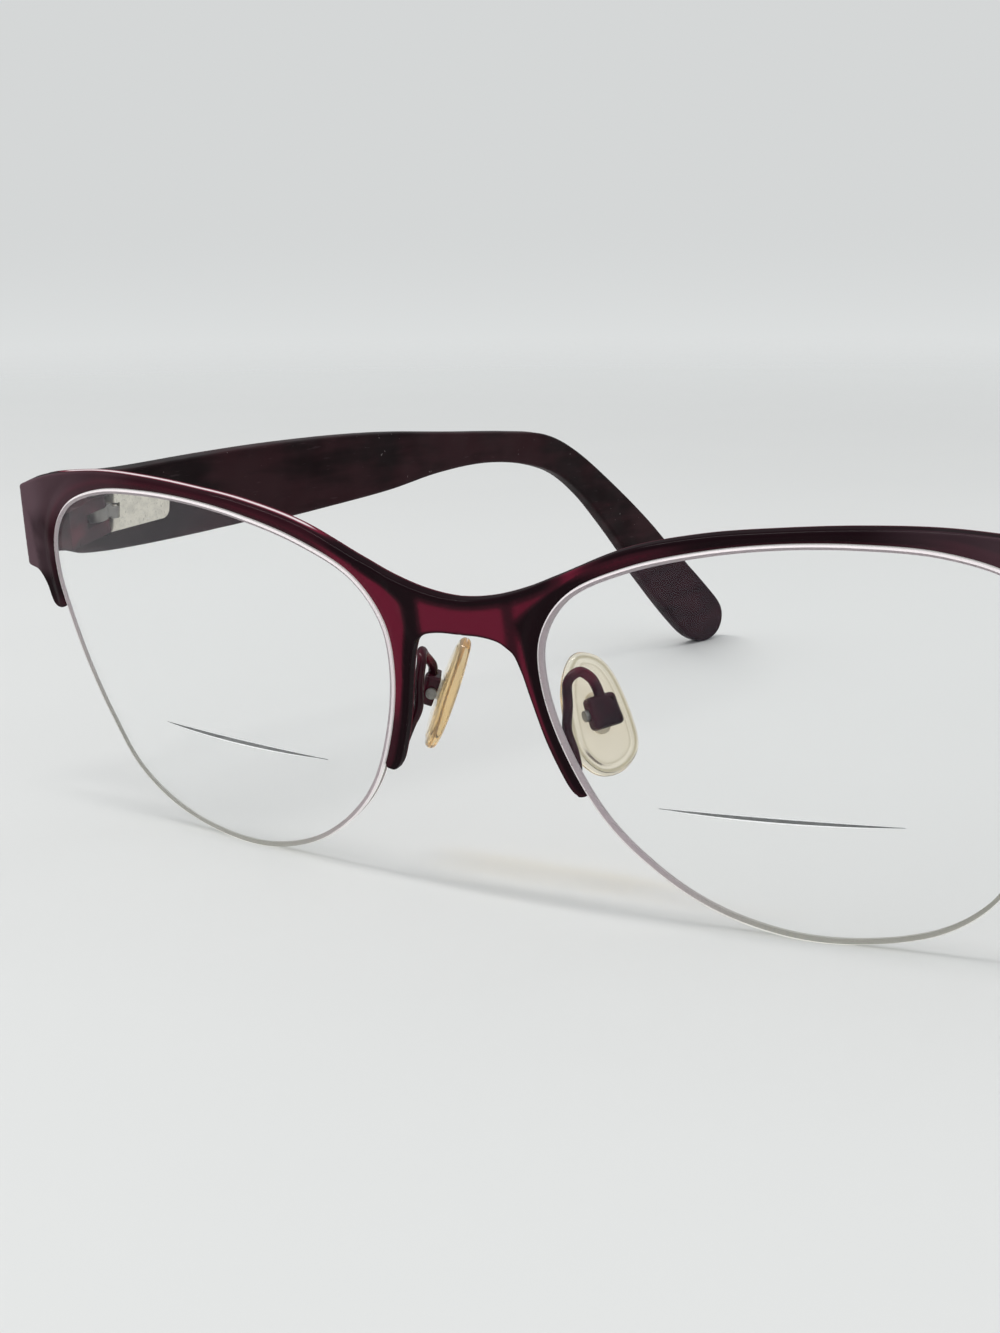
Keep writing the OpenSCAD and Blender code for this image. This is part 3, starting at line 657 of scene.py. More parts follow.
def lens_finish(name, colours):
    """Clear polished plastic, which lets light through to what lies behind it."""
    f = Finish(name)
    dust = f.step(f.noise(f.place(), 1.1, 1), 0.82, 0.86)
    tint = f.blend(dust * 0.25, colours.lens, (0.75, 0.76, 0.78))
    glass = f.principled({
        "Base Color": tint, "Roughness": 0.0, "IOR": 1.53, "Transmission Weight": 1.0,
        "Specular Tint": (*colours.lens_coating, 1.0),
    })
    return f.finish(lit_through(f, glass, (0.93, 0.94, 0.94)))


def lit_through(f, shader, tint):
    """The same shader, clear for the light that falls through it."""
    path = f.node("ShaderNodeLightPath", output="Is Shadow Ray")
    clear = f.node("ShaderNodeBsdfTransparent", {}, {"Color": (*tint, 1.0)})
    return f.node("ShaderNodeMixShader", {}, {0: path, 1: shader, 2: clear})


def ground_finish(name, tint, paler, painted_glow):
    """The lens edge, ground and faintly frosted. Its emission is a painted glow in place of light caught in
    the lens, and on the edge and lip the pinkish tone away from the cord is a painted reflection of the
    enamel.
    """
    f = Finish(name)
    grain = f.noise(f.place((1.0, 6.0, 1.0)), 4.0, 4, 0.6)
    tone = f.blend(f.attribute("shade"), paler, tint)
    tone = f.blend(f.step(grain, 0.3, 0.7, 0.0, 0.12), tone, (0.1, 0.1, 0.1))
    shader = f.principled({
        "Base Color": tone, "Roughness": 0.42, "Emission Color": (*tint, 1.0), "Emission Strength": painted_glow,
        "Normal": f.bump(grain, 0.15, 0.03),
    })
    return f.finish(lit_through(f, shader, (0.8, 0.8, 0.8)))


def ledge_finish(name, tone, deeper, painted_glow):
    """The narrow face of the reading segment's ledge, moulded and faintly grained. Its dark copy paints the
    dark line that the ledge shows by refraction, and its pale glowing copy paints the highlight lines
    beside it.
    """
    f = Finish(name)
    grain = f.noise(f.place((0.5, 2.0, 2.0)), 2.0, 3, 0.6)
    paint = f.blend(f.step(grain, 0.3, 0.7), tone, deeper)
    shader = f.principled({
        "Base Color": paint, "Roughness": 0.3, "Transmission Weight": 0.3,
        "Emission Color": (*tone, 1.0), "Emission Strength": painted_glow, "Normal": f.bump(grain, 0.1, 0.02),
    })
    return f.finish(lit_through(f, shader, (0.8, 0.8, 0.8)))


def nylon_finish(name, colours):
    """Clear nylon line, greyed by age, with faint drawing marks."""
    f = Finish(name)
    grain = f.noise(f.place((1.0, 1.0, 1.0)), 5.0, 3, 0.6)
    tone = f.blend(f.step(grain, 0.35, 0.65), colours.nylon, dimmed(colours.nylon, 0.8))
    shader = f.principled({
        "Base Color": tone, "Roughness": 0.35, "IOR": 1.5, "Transmission Weight": 0.15,
        "Normal": f.bump(grain, 0.1, 0.02),
    })
    return f.finish(lit_through(f, shader, (0.7, 0.7, 0.68)))


def silicone_finish(name, colours):
    """Clear silicone that deepens to amber the further one looks through it."""
    f = Finish(name)
    # The shade attribute paints dark olive lines along the rim and step, in place of the refraction at the
    # pad's edges.
    edge = f.attribute("shade")
    cloud = f.noise(f.place(), 0.6, 3)
    tone = f.blend(edge + (cloud - 0.5) * 0.1, colours.pad, colours.pad_edge)
    gloss = f.step(cloud, 0.35, 0.65, 0.05, 0.14)
    shader = f.principled({
        "Base Color": tone, "Roughness": gloss, "IOR": 1.41, "Transmission Weight": 0.92,
        "Normal": f.bump(cloud, 0.12, 0.06),
    })
    depth = f.node("ShaderNodeVolumeAbsorption", {}, {"Color": (*colours.pad_depth, 1.0), "Density": 250.0})
    f.node("ShaderNodeOutputMaterial", {}, {
        "Surface": lit_through(f, shader, (0.88, 0.80, 0.6)), "Volume": depth,
    })
    return f.material


def length_setting(name, description, default):
    """A size in metres that the user can change."""
    return FloatProperty(name=name, description=description, default=default, unit="LENGTH")


def colour_setting(name, description, default):
    """A colour that the user can change."""
    return FloatVectorProperty(name=name, description=description, default=default, subtype="COLOR")


class GlassesShape(bpy.types.PropertyGroup):
    """Rounding and relief that the finished pieces have"""

    rim_crown: length_setting("Rim crown", "Height of the ridge along the rim", 0.00028)
    top_crown: length_setting("Top slope", "Fall of the rim's outer face", 0.0002)
    rim_round: length_setting("Rim rounding", "Radius of the front's outer edges", 0.0003)
    lens_bevel: length_setting("Lens bevel", "Width of the lens's safety bevel", 0.00018)
    temple_round: length_setting("Temple rounding", "Radius of the temple's outer edges", 0.0007)


class GlassesColours(bpy.types.PropertyGroup):
    """Colours of the finishes"""

    # The enamel tones are lit and shaded copies of one wine-red enamel: dark is the painted shade of folds
    # and edges, bright the painted light on broad faces.
    enamel_bright: colour_setting("Enamel, bright", "Enamel on the broad faces", (0.150, 0.011, 0.030))
    # A painted highlight: pale pink along the top edge of the wearer's right brow, with a little painted
    # light on the back of the side walls.
    enamel_painted_light: colour_setting(
        "Enamel, pale", "Rubbed edge along the top of the brow", (0.76, 0.66, 0.68))
    # A painted reflection: the greyish sheen of bright surroundings over the end pieces and outer brows.
    enamel_painted_reflection: colour_setting(
        "Enamel, dulled", "Dulled enamel on the end pieces", (0.125, 0.074, 0.090))
    enamel_mid: colour_setting("Enamel, middle", "Enamel along the brows", (0.038, 0.006, 0.012))
    enamel_dark: colour_setting(
        "Enamel, dark", "Enamel in the folds and along the edges", (0.009, 0.002, 0.004))
    temple_dark: colour_setting("Temple, dark", "Darkest tone of the plastic", (0.010, 0.005, 0.006))
    temple_warm: colour_setting("Temple, warm", "Warmest tone of the plastic", (0.030, 0.011, 0.014))
    metal: colour_setting("Metal", "Silver parts", (0.86, 0.82, 0.72))
    steel: colour_setting("Steel", "Small screws", (0.30, 0.29, 0.27))
    lens: colour_setting("Lens", "Tint of the lenses", (0.985, 0.99, 0.99))
    lens_coating: colour_setting(
        "Lens coating", "Tint of the reflections on the lenses", (0.12, 0.09, 0.14))
    lens_low: colour_setting("Lens groove", "Groove of the lenses along the cord", (0.50, 0.49, 0.45))
    # The edge is partly its own frosted pale tone; its pink is a painted reflection of the enamel.
    lens_edge: colour_setting("Lens edge", "Ground edge of the lenses", (0.92, 0.84, 0.86))
    # Painted dark line on the ledge, in place of the dark line its refraction shows.
    ledge: colour_setting("Ledge", "Face of the reading segment's ledge", (0.13, 0.135, 0.135))
    nylon: colour_setting("Nylon", "Cord and rim strip", (0.46, 0.45, 0.41))
    pad: colour_setting("Pad", "Middle of a nose pad", (0.99, 0.98, 0.94))
    # Painted dark line along the pad's rim and step, in place of the refraction at its edges.
    pad_edge: colour_setting("Pad edge", "Edge of a nose pad", (0.34, 0.31, 0.16))
    pad_depth: colour_setting("Pad depth", "Tint that the pad's thickness gives", (0.95, 0.78, 0.42))
    floor: colour_setting("Floor", "Table top", (0.735, 0.742, 0.735))


def finish_named(name, make, *details):
    """The material of that name, made once."""
    return bpy.data.materials.get(name) or make(name, *details)


def front_outline():
    """Half of the front as a counterclockwise loop in the unrolled sheet, and the lines it is made of."""
    steps = KNOT_STEPS

    def side(dx, z):
        return (LENS_X + LENS_W / 2 + dx, z)

    def over(knot, extra):
        return tuple(lens_edge(knot, BROW_H + extra))

    def arm(knot, extra):
        return tuple(lens_edge(knot, ARM_W + extra))

    top = catmull([
        (-4, BRIDGE_TOP + 0.45), (0, BRIDGE_TOP), (4, BRIDGE_TOP + 0.45), (8, BRIDGE_TOP + 1.6),
        over(19, 0.7), over(20, 0.4), over(21, 0.2), over(0, 0), over(1, 0.2), over(2, 0.7),
        over(3, 2.25), side(0.9, END_HIGH + 1.5),
        side(2.9, END_HIGH + 0.9), side(4.1, END_HIGH + 0.45), wall_to_sheet(10.0, END_HIGH - 0.1),
    ], steps)[steps:]
    tail_top = wall_to_sheet(WALL_TAIL_Y + 1.487, 16.3)
    tail_low = wall_to_sheet(WALL_TAIL_Y - 1.047, 7.1)
    low = catmull([
        wall_to_sheet(10.0, END_LOW), side(5.0, END_LOW - 0.35), side(4.2, END_LOW - 0.6),
        side(3.5, END_LOW - 1.3), side(3.0, END_LOW - 2.4), side(2.75, END_LOW - 3.6),
        side(2.4, 4.2), side(1.7, 3.8), side(0.6, 4.0), side(-0.3, 4.6),
    ], steps)
    first = int(round(RIM_START * steps))
    last = int(round(RIM_END * steps))
    rim = LENS_LINE[np.arange(last, first - 1, -1) % LENS_COUNT]
    tip = catmull([
        tuple(lens_edge(RIM_START, 0.0)), tuple(lens_edge(RIM_START, 0.3) + [0, -0.22]),
        tuple(lens_edge(RIM_START, ARM_W * 0.5) + [0, -0.15]),
        tuple(lens_edge(RIM_START, ARM_W * 0.8) + [0, 0.08]),
        tuple(lens_edge(RIM_START, ARM_W) + [0, 0.5]), arm(15.6, 0), arm(16.2, 0), arm(16.8, 0.05),
        arm(17.2, 0.42), (6.05, BRIDGE_LOW - 1.7), (5.3, BRIDGE_LOW - 0.9), (4.2, BRIDGE_LOW - 0.3),
        (2.3, BRIDGE_LOW), (0, BRIDGE_LOW),
    ], steps)
    outer = [even(part, OUTLINE_GAP) for part in (
        top, [top[-1], tail_top], [tail_top, tail_low], [tail_low, low[0]], low)]
    outside = np.vstack([part[:-1] for part in outer] + [outer[-1][-1:]])
    rim = even(rim, OUTLINE_GAP)
    tip = even(tip, OUTLINE_GAP)
    middle = even([tip[-1], top[0]], OUTLINE_GAP)
    loop = np.vstack([outside, rim[:-1], tip[:-1], middle[:-1]])[::-1]
    return loop, outside, rim, tip


def bend_start(z):
    """Where the front's sheet starts to bend back, and the plan of the bend there."""
    edge = WALL_X - (z - WALL_Z) * math.tan(WALL_LEAN)
    y = face_y(edge, z, 0)
    turn0 = np.arctan2(edge, np.sqrt(FACE_R**2 - edge**2))
    turn1 = math.pi / 2 - WALL_SPLAY
    shift = (y - WALL_ROOT_Y) * math.tan(WALL_SPLAY)
    corner_x = edge + shift
    corner_y = face_y(corner_x, z, 0)
    reach = BEND_R * np.tan((turn1 - turn0) / 2)
    start = corner_x - reach * np.cos(turn0)
    return start, turn0, turn1, corner_y


def wall_to_sheet(y, z):
    """A point of the side wall, by how far back it is, in the unrolled sheet."""
    start, turn0, turn1, corner_y = bend_start(z)
    reach = BEND_R * np.tan((turn1 - turn0) / 2)
    after = (y - corner_y) / math.cos(WALL_SPLAY) - reach
    return (float(start + BEND_R * (turn1 - turn0) + after), z)


def sheet_to_face(flat, depth):
    """Unrolled sheet and depth behind its surface, to the wearer's frame."""
    s, z = flat[:, 0], flat[:, 1]
    start, turn0, turn1 = bend_start(z)[:3]
    along = np.clip(s - start, 0, None)
    turned = np.minimum(along / BEND_R, turn1 - turn0)
    angle = turn0 + turned
    straight = np.clip(along - BEND_R * (turn1 - turn0), 0, None)
    x = np.minimum(s, start)
    px = x + BEND_R * (np.sin(angle) - np.sin(turn0)) + straight * np.cos(turn1)
    py = face_y(x, z, 0) + BEND_R * (np.cos(turn0) - np.cos(angle)) + straight * np.sin(turn1)
    lean = angle * smooth(s, start - 2.2, start)
    onward = face_y(x, z, np.minimum(depth, 2.5)) - face_y(x, z, 0)
    plain = np.where(s < start - 2.2, onward, depth)
    return np.column_stack([px - plain * np.sin(lean), py + plain * np.cos(lean), z])


def front_shape(shape):
    """The front's left half as a closed body, with both halves' painted light and shade and their share of
    painted reflection.
    """
    loop, outside, rim, tip = front_outline()
    beside = [LENS_LINE + d * LENS_OUT for d in np.arange(0.55, 3.4, 0.24)]
    flat, tris, edge = sheet_mesh(loop, (0.04, 0.11, 0.2, 0.31, 0.44), 0.48, beside)
    d_lens = line_distance(flat, LENS_LINE, True)
    d_out = np.minimum(line_distance(flat, outside), line_distance(flat, tip))
    width = d_lens + d_out
    half = np.minimum(width / 2, 0.95)
    t = d_lens / np.maximum(half, 1e-6)
    wide = smooth(width, 2.3, 3.6)
    soft = np.sqrt((t - 1) ** 2 + 0.04) - 0.2
    valley = mix(shape.top_crown * MM, 0.30, wide)
    relief = np.where(t < 1, shape.rim_crown * MM * soft, valley * np.minimum(soft, 1))
    plate = smooth(d_lens, 1.9, 3.3) * wide
    relief = mix(relief, 0.10, plate)
    start = bend_start(flat[:, 1])[0]
    relief = relief * (1 - smooth(flat[:, 0], start - 1.5, start))
    front = relief + drop(d_lens, 0.2) + drop(d_out, shape.rim_round * MM)
    thick = mix(RIM_DEPTH, WALL_T, smooth(flat[:, 0], start - 2.0, start))
    back = thick - drop(d_lens, 0.15) - drop(d_out, 0.22)
    on_rim = d_lens[edge] < 1e-3
    from_end = np.minimum(np.linalg.norm(flat[edge] - rim[0], axis=1),
                          np.linalg.norm(flat[edge] - rim[-1], axis=1))
    cut = np.where(on_rim, RIM_GROOVE * smooth(from_end, 0.6, 1.6), 0)
    moved = flat[edge] + cut[:, None] * LENS_OUT[nearest_on_lens(flat[edge])]
    share = thick[edge] / RIM_DEPTH
    rows = [sheet_to_face(place, depth * share) for depth, place in (
        (RIM_GROOVE_FROM, flat[edge]), (RIM_GROOVE_FROM + GROOVE_SLOPE, moved),
        (RIM_GROOVE_TO - GROOVE_SLOPE, moved), (RIM_GROOVE_TO, flat[edge]))]
    verts, faces = slab(tris, edge, sheet_to_face(flat, front), sheet_to_face(flat, back), rows)
    top = line_distance(flat, outside)
    low = line_distance(flat, tip)
    shades = []
    lateral = flat[edge][:, 0]
    # A painted highlight along the back of the top edge of the wearer's right brow.
    painted_highlight = 2.3 * smooth(lateral, 14, 20) * (1 - smooth(lateral, 55, 60)) * (flat[edge][:, 1] > 8)
    for sign in (1, -1):
        level = enamel_level(flat, d_lens / np.maximum(width, 1e-6), t, top, low, sign)
        # The back of the sheet is painted lighter towards the side wall's inner face: painted light where
        # that face lies in shade behind the lens.
        under = 0.75 + 0.58 * smooth(flat[:, 0], start, start + 1.5)
        # The edge rows are painted dark, as painted shade on the top faces, except the painted highlight
        # along the wearer's right brow.
        brow = np.where(d_lens[edge] < 0.3, 0.05, painted_highlight if sign < 0 else 0.05)
        shades.append(np.concatenate([level, under, *[np.full(len(edge), 0.05)] * 2, brow, brow]))
    painted_reflection = np.concatenate([painted_reflection_share(flat, top), np.zeros(len(verts) - len(flat))])
    return verts, faces, shades, painted_reflection


def enamel_level(flat, across, t, top, low, sign):
    """Painted light and shade of the enamel at each point of one half, from 0 for the painted shade in the
    folds to 1 for the painted light on the bridge.
    """
    # Limits on x and z are in millimetres on the unrolled front; t is 0 at the lens and 1 on the ridge
    x, z = flat[:, 0], flat[:, 1]
    # The halves differ because light from the wearer's right is painted in: on each nose arm the face
    # towards that side is painted light, the other painted shade, and the wearer's left brow is painted
    # darker.
    if sign > 0:
        nose = mix(0.0, 0.85, smooth(across, 0.42, 0.60))
        nose = nose * mix(1.0, 0.4, smooth(-z, -1.0, 5.0))
        brow = mix(0.60, 0.06, smooth(x, 21, 28)) * smooth(t, 0.2, 0.7)
        brow = brow + 0.36 * (1 - smooth(t, 0.25, 0.6))
        brow = mix(brow, 0.42, smooth(x, 47, 52))
        fold = 0.45 * smooth(x, 4.9, 5.9) * (1 - smooth(x, 6.2, 7.2))
    else:
        nose = mix(1.0, 0.04, smooth(across, 0.52, 0.72))
        nose = nose * mix(1.0, 0.45, smooth(-z, -3.0, 3.0))
        brow = mix(0.40, 0.60, smooth(t, 0.3, 0.9))
        fold = 0.92 * smooth(x, 4.2, 5.4) * (1 - smooth(x, 6.2, 7.4))
    brow = brow * (1 - (1.0 if sign > 0 else 0.55) * smooth(t, 1.15, 1.7))
    level = mix(nose, brow, smooth(x, 13.0, 18.5))
    # Painted light on the bridge, then painted shade in the folds beside it and along the top and lower
    # edges near the nose.
    level = mix(level, 1.0, 1 - smooth(x, 4.6, 6.6))
    level = level * (1 - fold * smooth(z, 2.0, 6.0))
    near_top = 1 - smooth(top, 0.35, 1.45)
    near_low = 1 - smooth(low, 0.15, 0.5)
    inner = 1 - smooth(x, 10.0, 14.0)
    level = level * (1 - 0.95 * near_top * inner) * (1 - 0.6 * near_low * inner)
    # The end piece and side wall carry their own painted light and shade, darker low down and further round
    # the bend.
    plate = smooth(x, 59.5, 61.2) * smooth(z, 3.0, 6.5)
    side = mix(0.08, 0.28, smooth(z, 6.0, 9.0)) * (1 - 0.7 * smooth(x, 61.6, 62.8))
    return mix(level, side, plate)


def painted_reflection_share(flat, top):
    """How much painted reflection lies on the enamel: all of the end piece's outer part, less along its top
    and the brow.
    """
    x, z = flat[:, 0], flat[:, 1]
    outer = smooth(x, 63.9, 65.2) * smooth(z, 7.0, 9.0)
    band = 0.35 * smooth(x, 61.6, 62.8) * smooth(z, 7.0, 9.0)
    upper = 0.25 * smooth(x, 42, 50) + 0.30 * smooth(x, 50, 60) + 0.45 * smooth(x, 60, 64.5)
    upper = upper * (1 - smooth(top, 2.5, 6.5)) * smooth(z, 9.0, 13.0)
    return np.maximum(np.maximum(outer, upper), band)


class GLASSES_OT_front(bpy.types.Operator):
    """Metal front: brow, bridge, nose arms, end pieces and side walls"""

    bl_idname = "glasses.front"
    bl_label = "Front"

    def execute(self, context):
        colours = context.scene.glasses_colours
        verts, faces, shades, painted_reflection = front_shape(context.scene.glasses_shape)
        middle = np.abs(verts[:, 0]) < 1e-3
        cap = [f for f in faces if all(middle[i] for i in f)]
        faces = [f for f in faces if not all(middle[i] for i in f)]
        if not cap:
            raise RuntimeError("the front's halves don't meet")
        n = len(verts)
        other = np.where(middle, np.arange(n), n + np.arange(n))
        twin = verts * [-1, 1, 1]
        verts[middle, 0] = 0
        faces = faces + [tuple(other[i] for i in f[::-1]) for f in faces]
        verts = np.vstack([verts, twin])
        shades = np.concatenate(shades)
        used = np.zeros(len(verts), bool)
        used[np.unique(np.concatenate([np.array(f) for f in faces]))] = True
        index = np.cumsum(used) - 1
        faces = [tuple(index[i] for i in f) for f in faces]
        enamel = finish_named("front_enamel", enamel_finish, colours, True)
        piece("front", verts[used], faces, 1, "front", "frame_enamel", [enamel], ["front_frame"],
              {"shade": shades[used], "painted_reflection": np.concatenate([painted_reflection, painted_reflection])[used]}, angle=50)
        return {"FINISHED"}


class GLASSES_OT_lenses(bpy.types.Operator):
    """Two lenses with a reading segment, a ground edge and a groove"""

    bl_idname = "glasses.lenses"
    bl_label = "Lenses"

    def execute(self, context):
        colours = context.scene.glasses_colours
        bevel = context.scene.glasses_shape.lens_bevel * MM
        clear = finish_named("lens_clear", lens_finish, colours)
        tint = colours.lens_edge
        low = colours.lens_low
        # The edge and lip glow with painted light, the glint lines are painted highlights, and the edge's
        # pink is a painted reflection of the enamel.
        ground = finish_named("lens_edge", ground_finish, (0.86, 0.85, 0.82), tint, 0.16)
        lip = finish_named("lens_lip", ground_finish, (0.80, 0.80, 0.76), (0.88, 0.84, 0.85), 0.3)
        grey = finish_named("lens_groove", ground_finish, low, (0.64, 0.56, 0.59), 0.0)
        tone = colours.ledge
        ledge = finish_named("lens_ledge", ledge_finish, tone, dimmed(tone, 1.6), 0.0)
        glint = finish_named("lens_glint", ledge_finish, (0.95, 0.96, 0.96), (0.85, 0.87, 0.87), 0.3)
        verts, faces, shade, finish_of = lens_shape(bevel)
        finishes = [clear, ground, ledge, glint, grey, lip]
        for side, sign in SIDES:
            piece("lens_" + side, verts, faces, sign, "front", "lens", finishes, ["lens_" + side],
                  {"shade": shade}, finish_of, 20)
        return {"FINISHED"}


# Places of the lens's finishes in its list, and the finish of each ring of faces from the front backwards
CLEAR, GROUND, LEDGE, GLINT, GROOVED, LIP = range(6)
RINGS = (GROUND, LIP, GROOVED, GROOVED, GROOVED, LIP, LIP)


def lens_shape(bevel):
    """A lens as a closed body, with the shade of each point and the finish of each face."""
    loop = even(LENS_LINE - bevel * LENS_OUT, 0.6, True)[::-1]
    flat, tris, edge = sheet_mesh(loop, (0.3,), 1.1, [segment_arc(loop)], ledge_cuts())
    main = face_y(flat[:, 0], flat[:, 1], -LENS_PROUD)
    front_y = np.where(flat[:, 1] < SEGMENT_TOP, np.minimum(main, segment_y(flat)), main)
    near = nearest_on_lens(flat[edge])
    outward = LENS_OUT[near]
    far_lip = RIM_DEPTH - LIP_DEPTH
    rows = []
    for depth, offset in ((bevel - LENS_PROUD, bevel), (LIP_DEPTH, bevel), (LIP_DEPTH, bevel - GROOVE),
                          (far_lip, bevel - GROOVE), (far_lip, bevel)):
        at = flat[edge] + offset * outward
        rows.append(upright(at, face_y(at[:, 0], at[:, 1], depth)))
    at = flat[edge] + bevel * outward
    rows.append(upright(at, lens_back(at, 0.4 * bevel)))
    verts, faces = slab(tris, edge, upright(flat, front_y), upright(flat, lens_back(flat, 0.0)), rows)
    # dim is 1 along the cord below and 0 elsewhere, where the edge and lip take the pink of the enamel's
    # painted reflection.
    knot = near / KNOT_STEPS
    dim = smooth(knot, 5.2, 8.5) * (1 - smooth(knot, 12.0, 14.6))
    shade = np.zeros(2 * len(flat))
    shade[edge] = dim
    shade[len(flat) + edge] = dim
    shade = np.concatenate([shade, *[dim] * len(rows)])
    finish_of = [*ledge_band(flat[tris].mean(1)), *[CLEAR] * len(tris), *np.repeat(RINGS, len(edge))]
    return verts, faces, shade, finish_of


def segment_arc(loop):
    """The round edge of the reading segment, as far as it lies inside the lens."""
    corner = math.asin((SEGMENT_TOP - SEGMENT_Z) / SEGMENT_HALF)
    turn = np.linspace(corner, -math.pi - corner, 90)[1:-1]
    arc = [SEGMENT_X, SEGMENT_Z] + SEGMENT_HALF * around(turn)
    arc = arc[inside(arc, loop)]
    return arc[line_distance(arc, loop, True) > 0.5]


def ledge_cuts():
    """Lines along the top of the reading segment, which the triangles of the lens follow."""
    xs = SEGMENT_X + SEGMENT_REACH * np.sin(np.linspace(-math.pi / 2, math.pi / 2, LEDGE_POINTS))
    swell = 1 - ((xs - SEGMENT_X) / SEGMENT_REACH) ** 2
    cuts = [np.column_stack([xs, np.full(LEDGE_POINTS, SEGMENT_TOP + 0.02)])]
    for lift, gap in LEDGE_LINES:
        cuts.append(np.column_stack([xs[3:-3], SEGMENT_TOP + lift + gap * swell[3:-3]]))
    return cuts


def ledge_band(middle):
    """The finish of each triangle of the front, by its middle: between the ledge's lines it isn't clear."""
    under = SEGMENT_TOP - middle[:, 1]
    wide = 1 - ((middle[:, 0] - SEGMENT_X) / SEGMENT_REACH) ** 2
    # Between the ledge's lines: a painted dark line on the ledge face, with painted highlight lines above
    # and below it.
    limits = (under > -0.02 - 0.125 * wide) & (under < 0.03 + 0.205 * wide) & (wide > 0.11)
    dark = (under > -0.0199) & (under < 0.03 + 0.072 * wide)
    return np.where(limits, np.where(dark, LEDGE, GLINT), CLEAR)


def lens_back(flat, inset):
    """Back of a lens: a little flatter than its front, as in weak reading glasses."""
    r2 = (flat[:, 0] - LENS_X) ** 2 + flat[:, 1] ** 2
    return face_y(flat[:, 0], flat[:, 1], RIM_DEPTH + LENS_PROUD - inset) - LENS_POWER * r2 / 2


def segment_y(flat):
    """Front of the reading segment, which has its own steeper ball."""
    centre_y = face_y(SEGMENT_X, SEGMENT_Z, -LENS_PROUD)
    rise = SEGMENT_HALF**2 / 2 * (1 / SEGMENT_R - 1 / FACE_R)
    outward = unit([SEGMENT_X, centre_y - FACE_R, SEGMENT_Z - BALL_Z])
    middle = np.array([SEGMENT_X, centre_y, SEGMENT_Z]) + (rise - SEGMENT_R) * outward
    inner = SEGMENT_R**2 - (flat[:, 0] - middle[0]) ** 2 - (flat[:, 1] - middle[2]) ** 2
    return middle[1] - np.sqrt(np.maximum(inner, 0))


class GLASSES_OT_nylon(bpy.types.Operator):
    """Nylon cord below each lens and the strip in the upper rim"""

    bl_idname = "glasses.nylon"
    bl_label = "Nylon"

    def execute(self, context):
        line = finish_named("nylon_line", nylon_finish, context.scene.glasses_colours)
        for name, first, last, inset, r, flat in (("nylon_cord", 5.4, 15.6, -0.3, 0.27, 1.0),
                                                  ("rim_liner", 16.0, 27.0, -0.04, 0.27, 1.9)):
            i = np.arange(round(first * KNOT_STEPS), round(last * KNOT_STEPS) + 1, 2) % LENS_COUNT
            at = LENS_LINE[i] + inset * LENS_OUT[i]
            path, radii = rounded_ends(upright(at, face_y(at[:, 0], at[:, 1], RIM_DEPTH / 2)), r)
            verts, faces = tube(path, radii, 16, flat, (1, 0, 0.2))
            for side, sign in SIDES:
                node = name + "_" + side
                piece(node, verts, faces, sign, "front", "nylon", [line], [node])
        return {"FINISHED"}


class GLASSES_OT_nose_pads(bpy.types.Operator):
    """Wire arms, boxes, screws, inserts and silicone pads"""

    bl_idname = "glasses.nose_pads"
    bl_label = "Nose pads"

    def execute(self, context):
        colours = context.scene.glasses_colours
        enamel = finish_named("part_enamel", enamel_finish, colours, False)
        metal = finish_named("satin_silver", metal_finish, colours)
        steel = finish_named("screw_steel", steel_finish, colours)
        silicone = finish_named("clear_silicone", silicone_finish, colours)
        wire = wire_shape()
        pad = pad_shape()
        box = box_shape()
        for side, sign in SIDES:
            piece("pad_arm_" + side, *wire, sign, "front", "frame_enamel", [enamel], ["pad_arm_" + side])
            piece("nose_pad_" + side, pad[0], pad[1], sign, "pad_" + side, "pad_silicone", [silicone],
                  ["nose_pad_" + side], {"shade": pad[2]})
            piece("pad_box_" + side, *box, sign, "front", "frame_enamel", [enamel], ["pad_box_" + side])
            dress("pad_screw_" + side, steel, 0.07)
            dress("pad_insert_" + side, metal, 0.07)
        return {"FINISHED"}


def wire_shape():
    """A wire arm from the foot of the nose arm to the box of its pad, thicker at both ends."""
    x, z = lens_edge(15.6, ARM_W / 2)
    root = np.array([x, face_y(x, z, RIM_DEPTH), z])
    end = pad_to_face(np.array([[0, 1.5, 2.135]]))[0]
    path = catmull([
        root + [0, -0.3, 0], root + [0, 0.6, 0.5], root + [-0.6, 1.4, 2.1], root + [-1.5, 2.1, 4.0],
        root + [-1.5, 2.9, 6.4], end + [-1.4, -3.5, 3.0], end + [-0.75, -2.2, 3.65],
        end + [-0.2, -1.05, 2.6], end + [-0.2, -0.1, 1.1], end,
    ], 14)
    path, radii = rounded_ends(path, WIRE_R)
    share = np.linspace(0, 1, len(path))
    radii = radii * (1 + 0.35 * (1 - smooth(share, 0.0, 0.09)) + 0.3 * smooth(share, 0.93, 1.0))
    return tube(path, radii, 20, 0.92, (1, 0, 0))


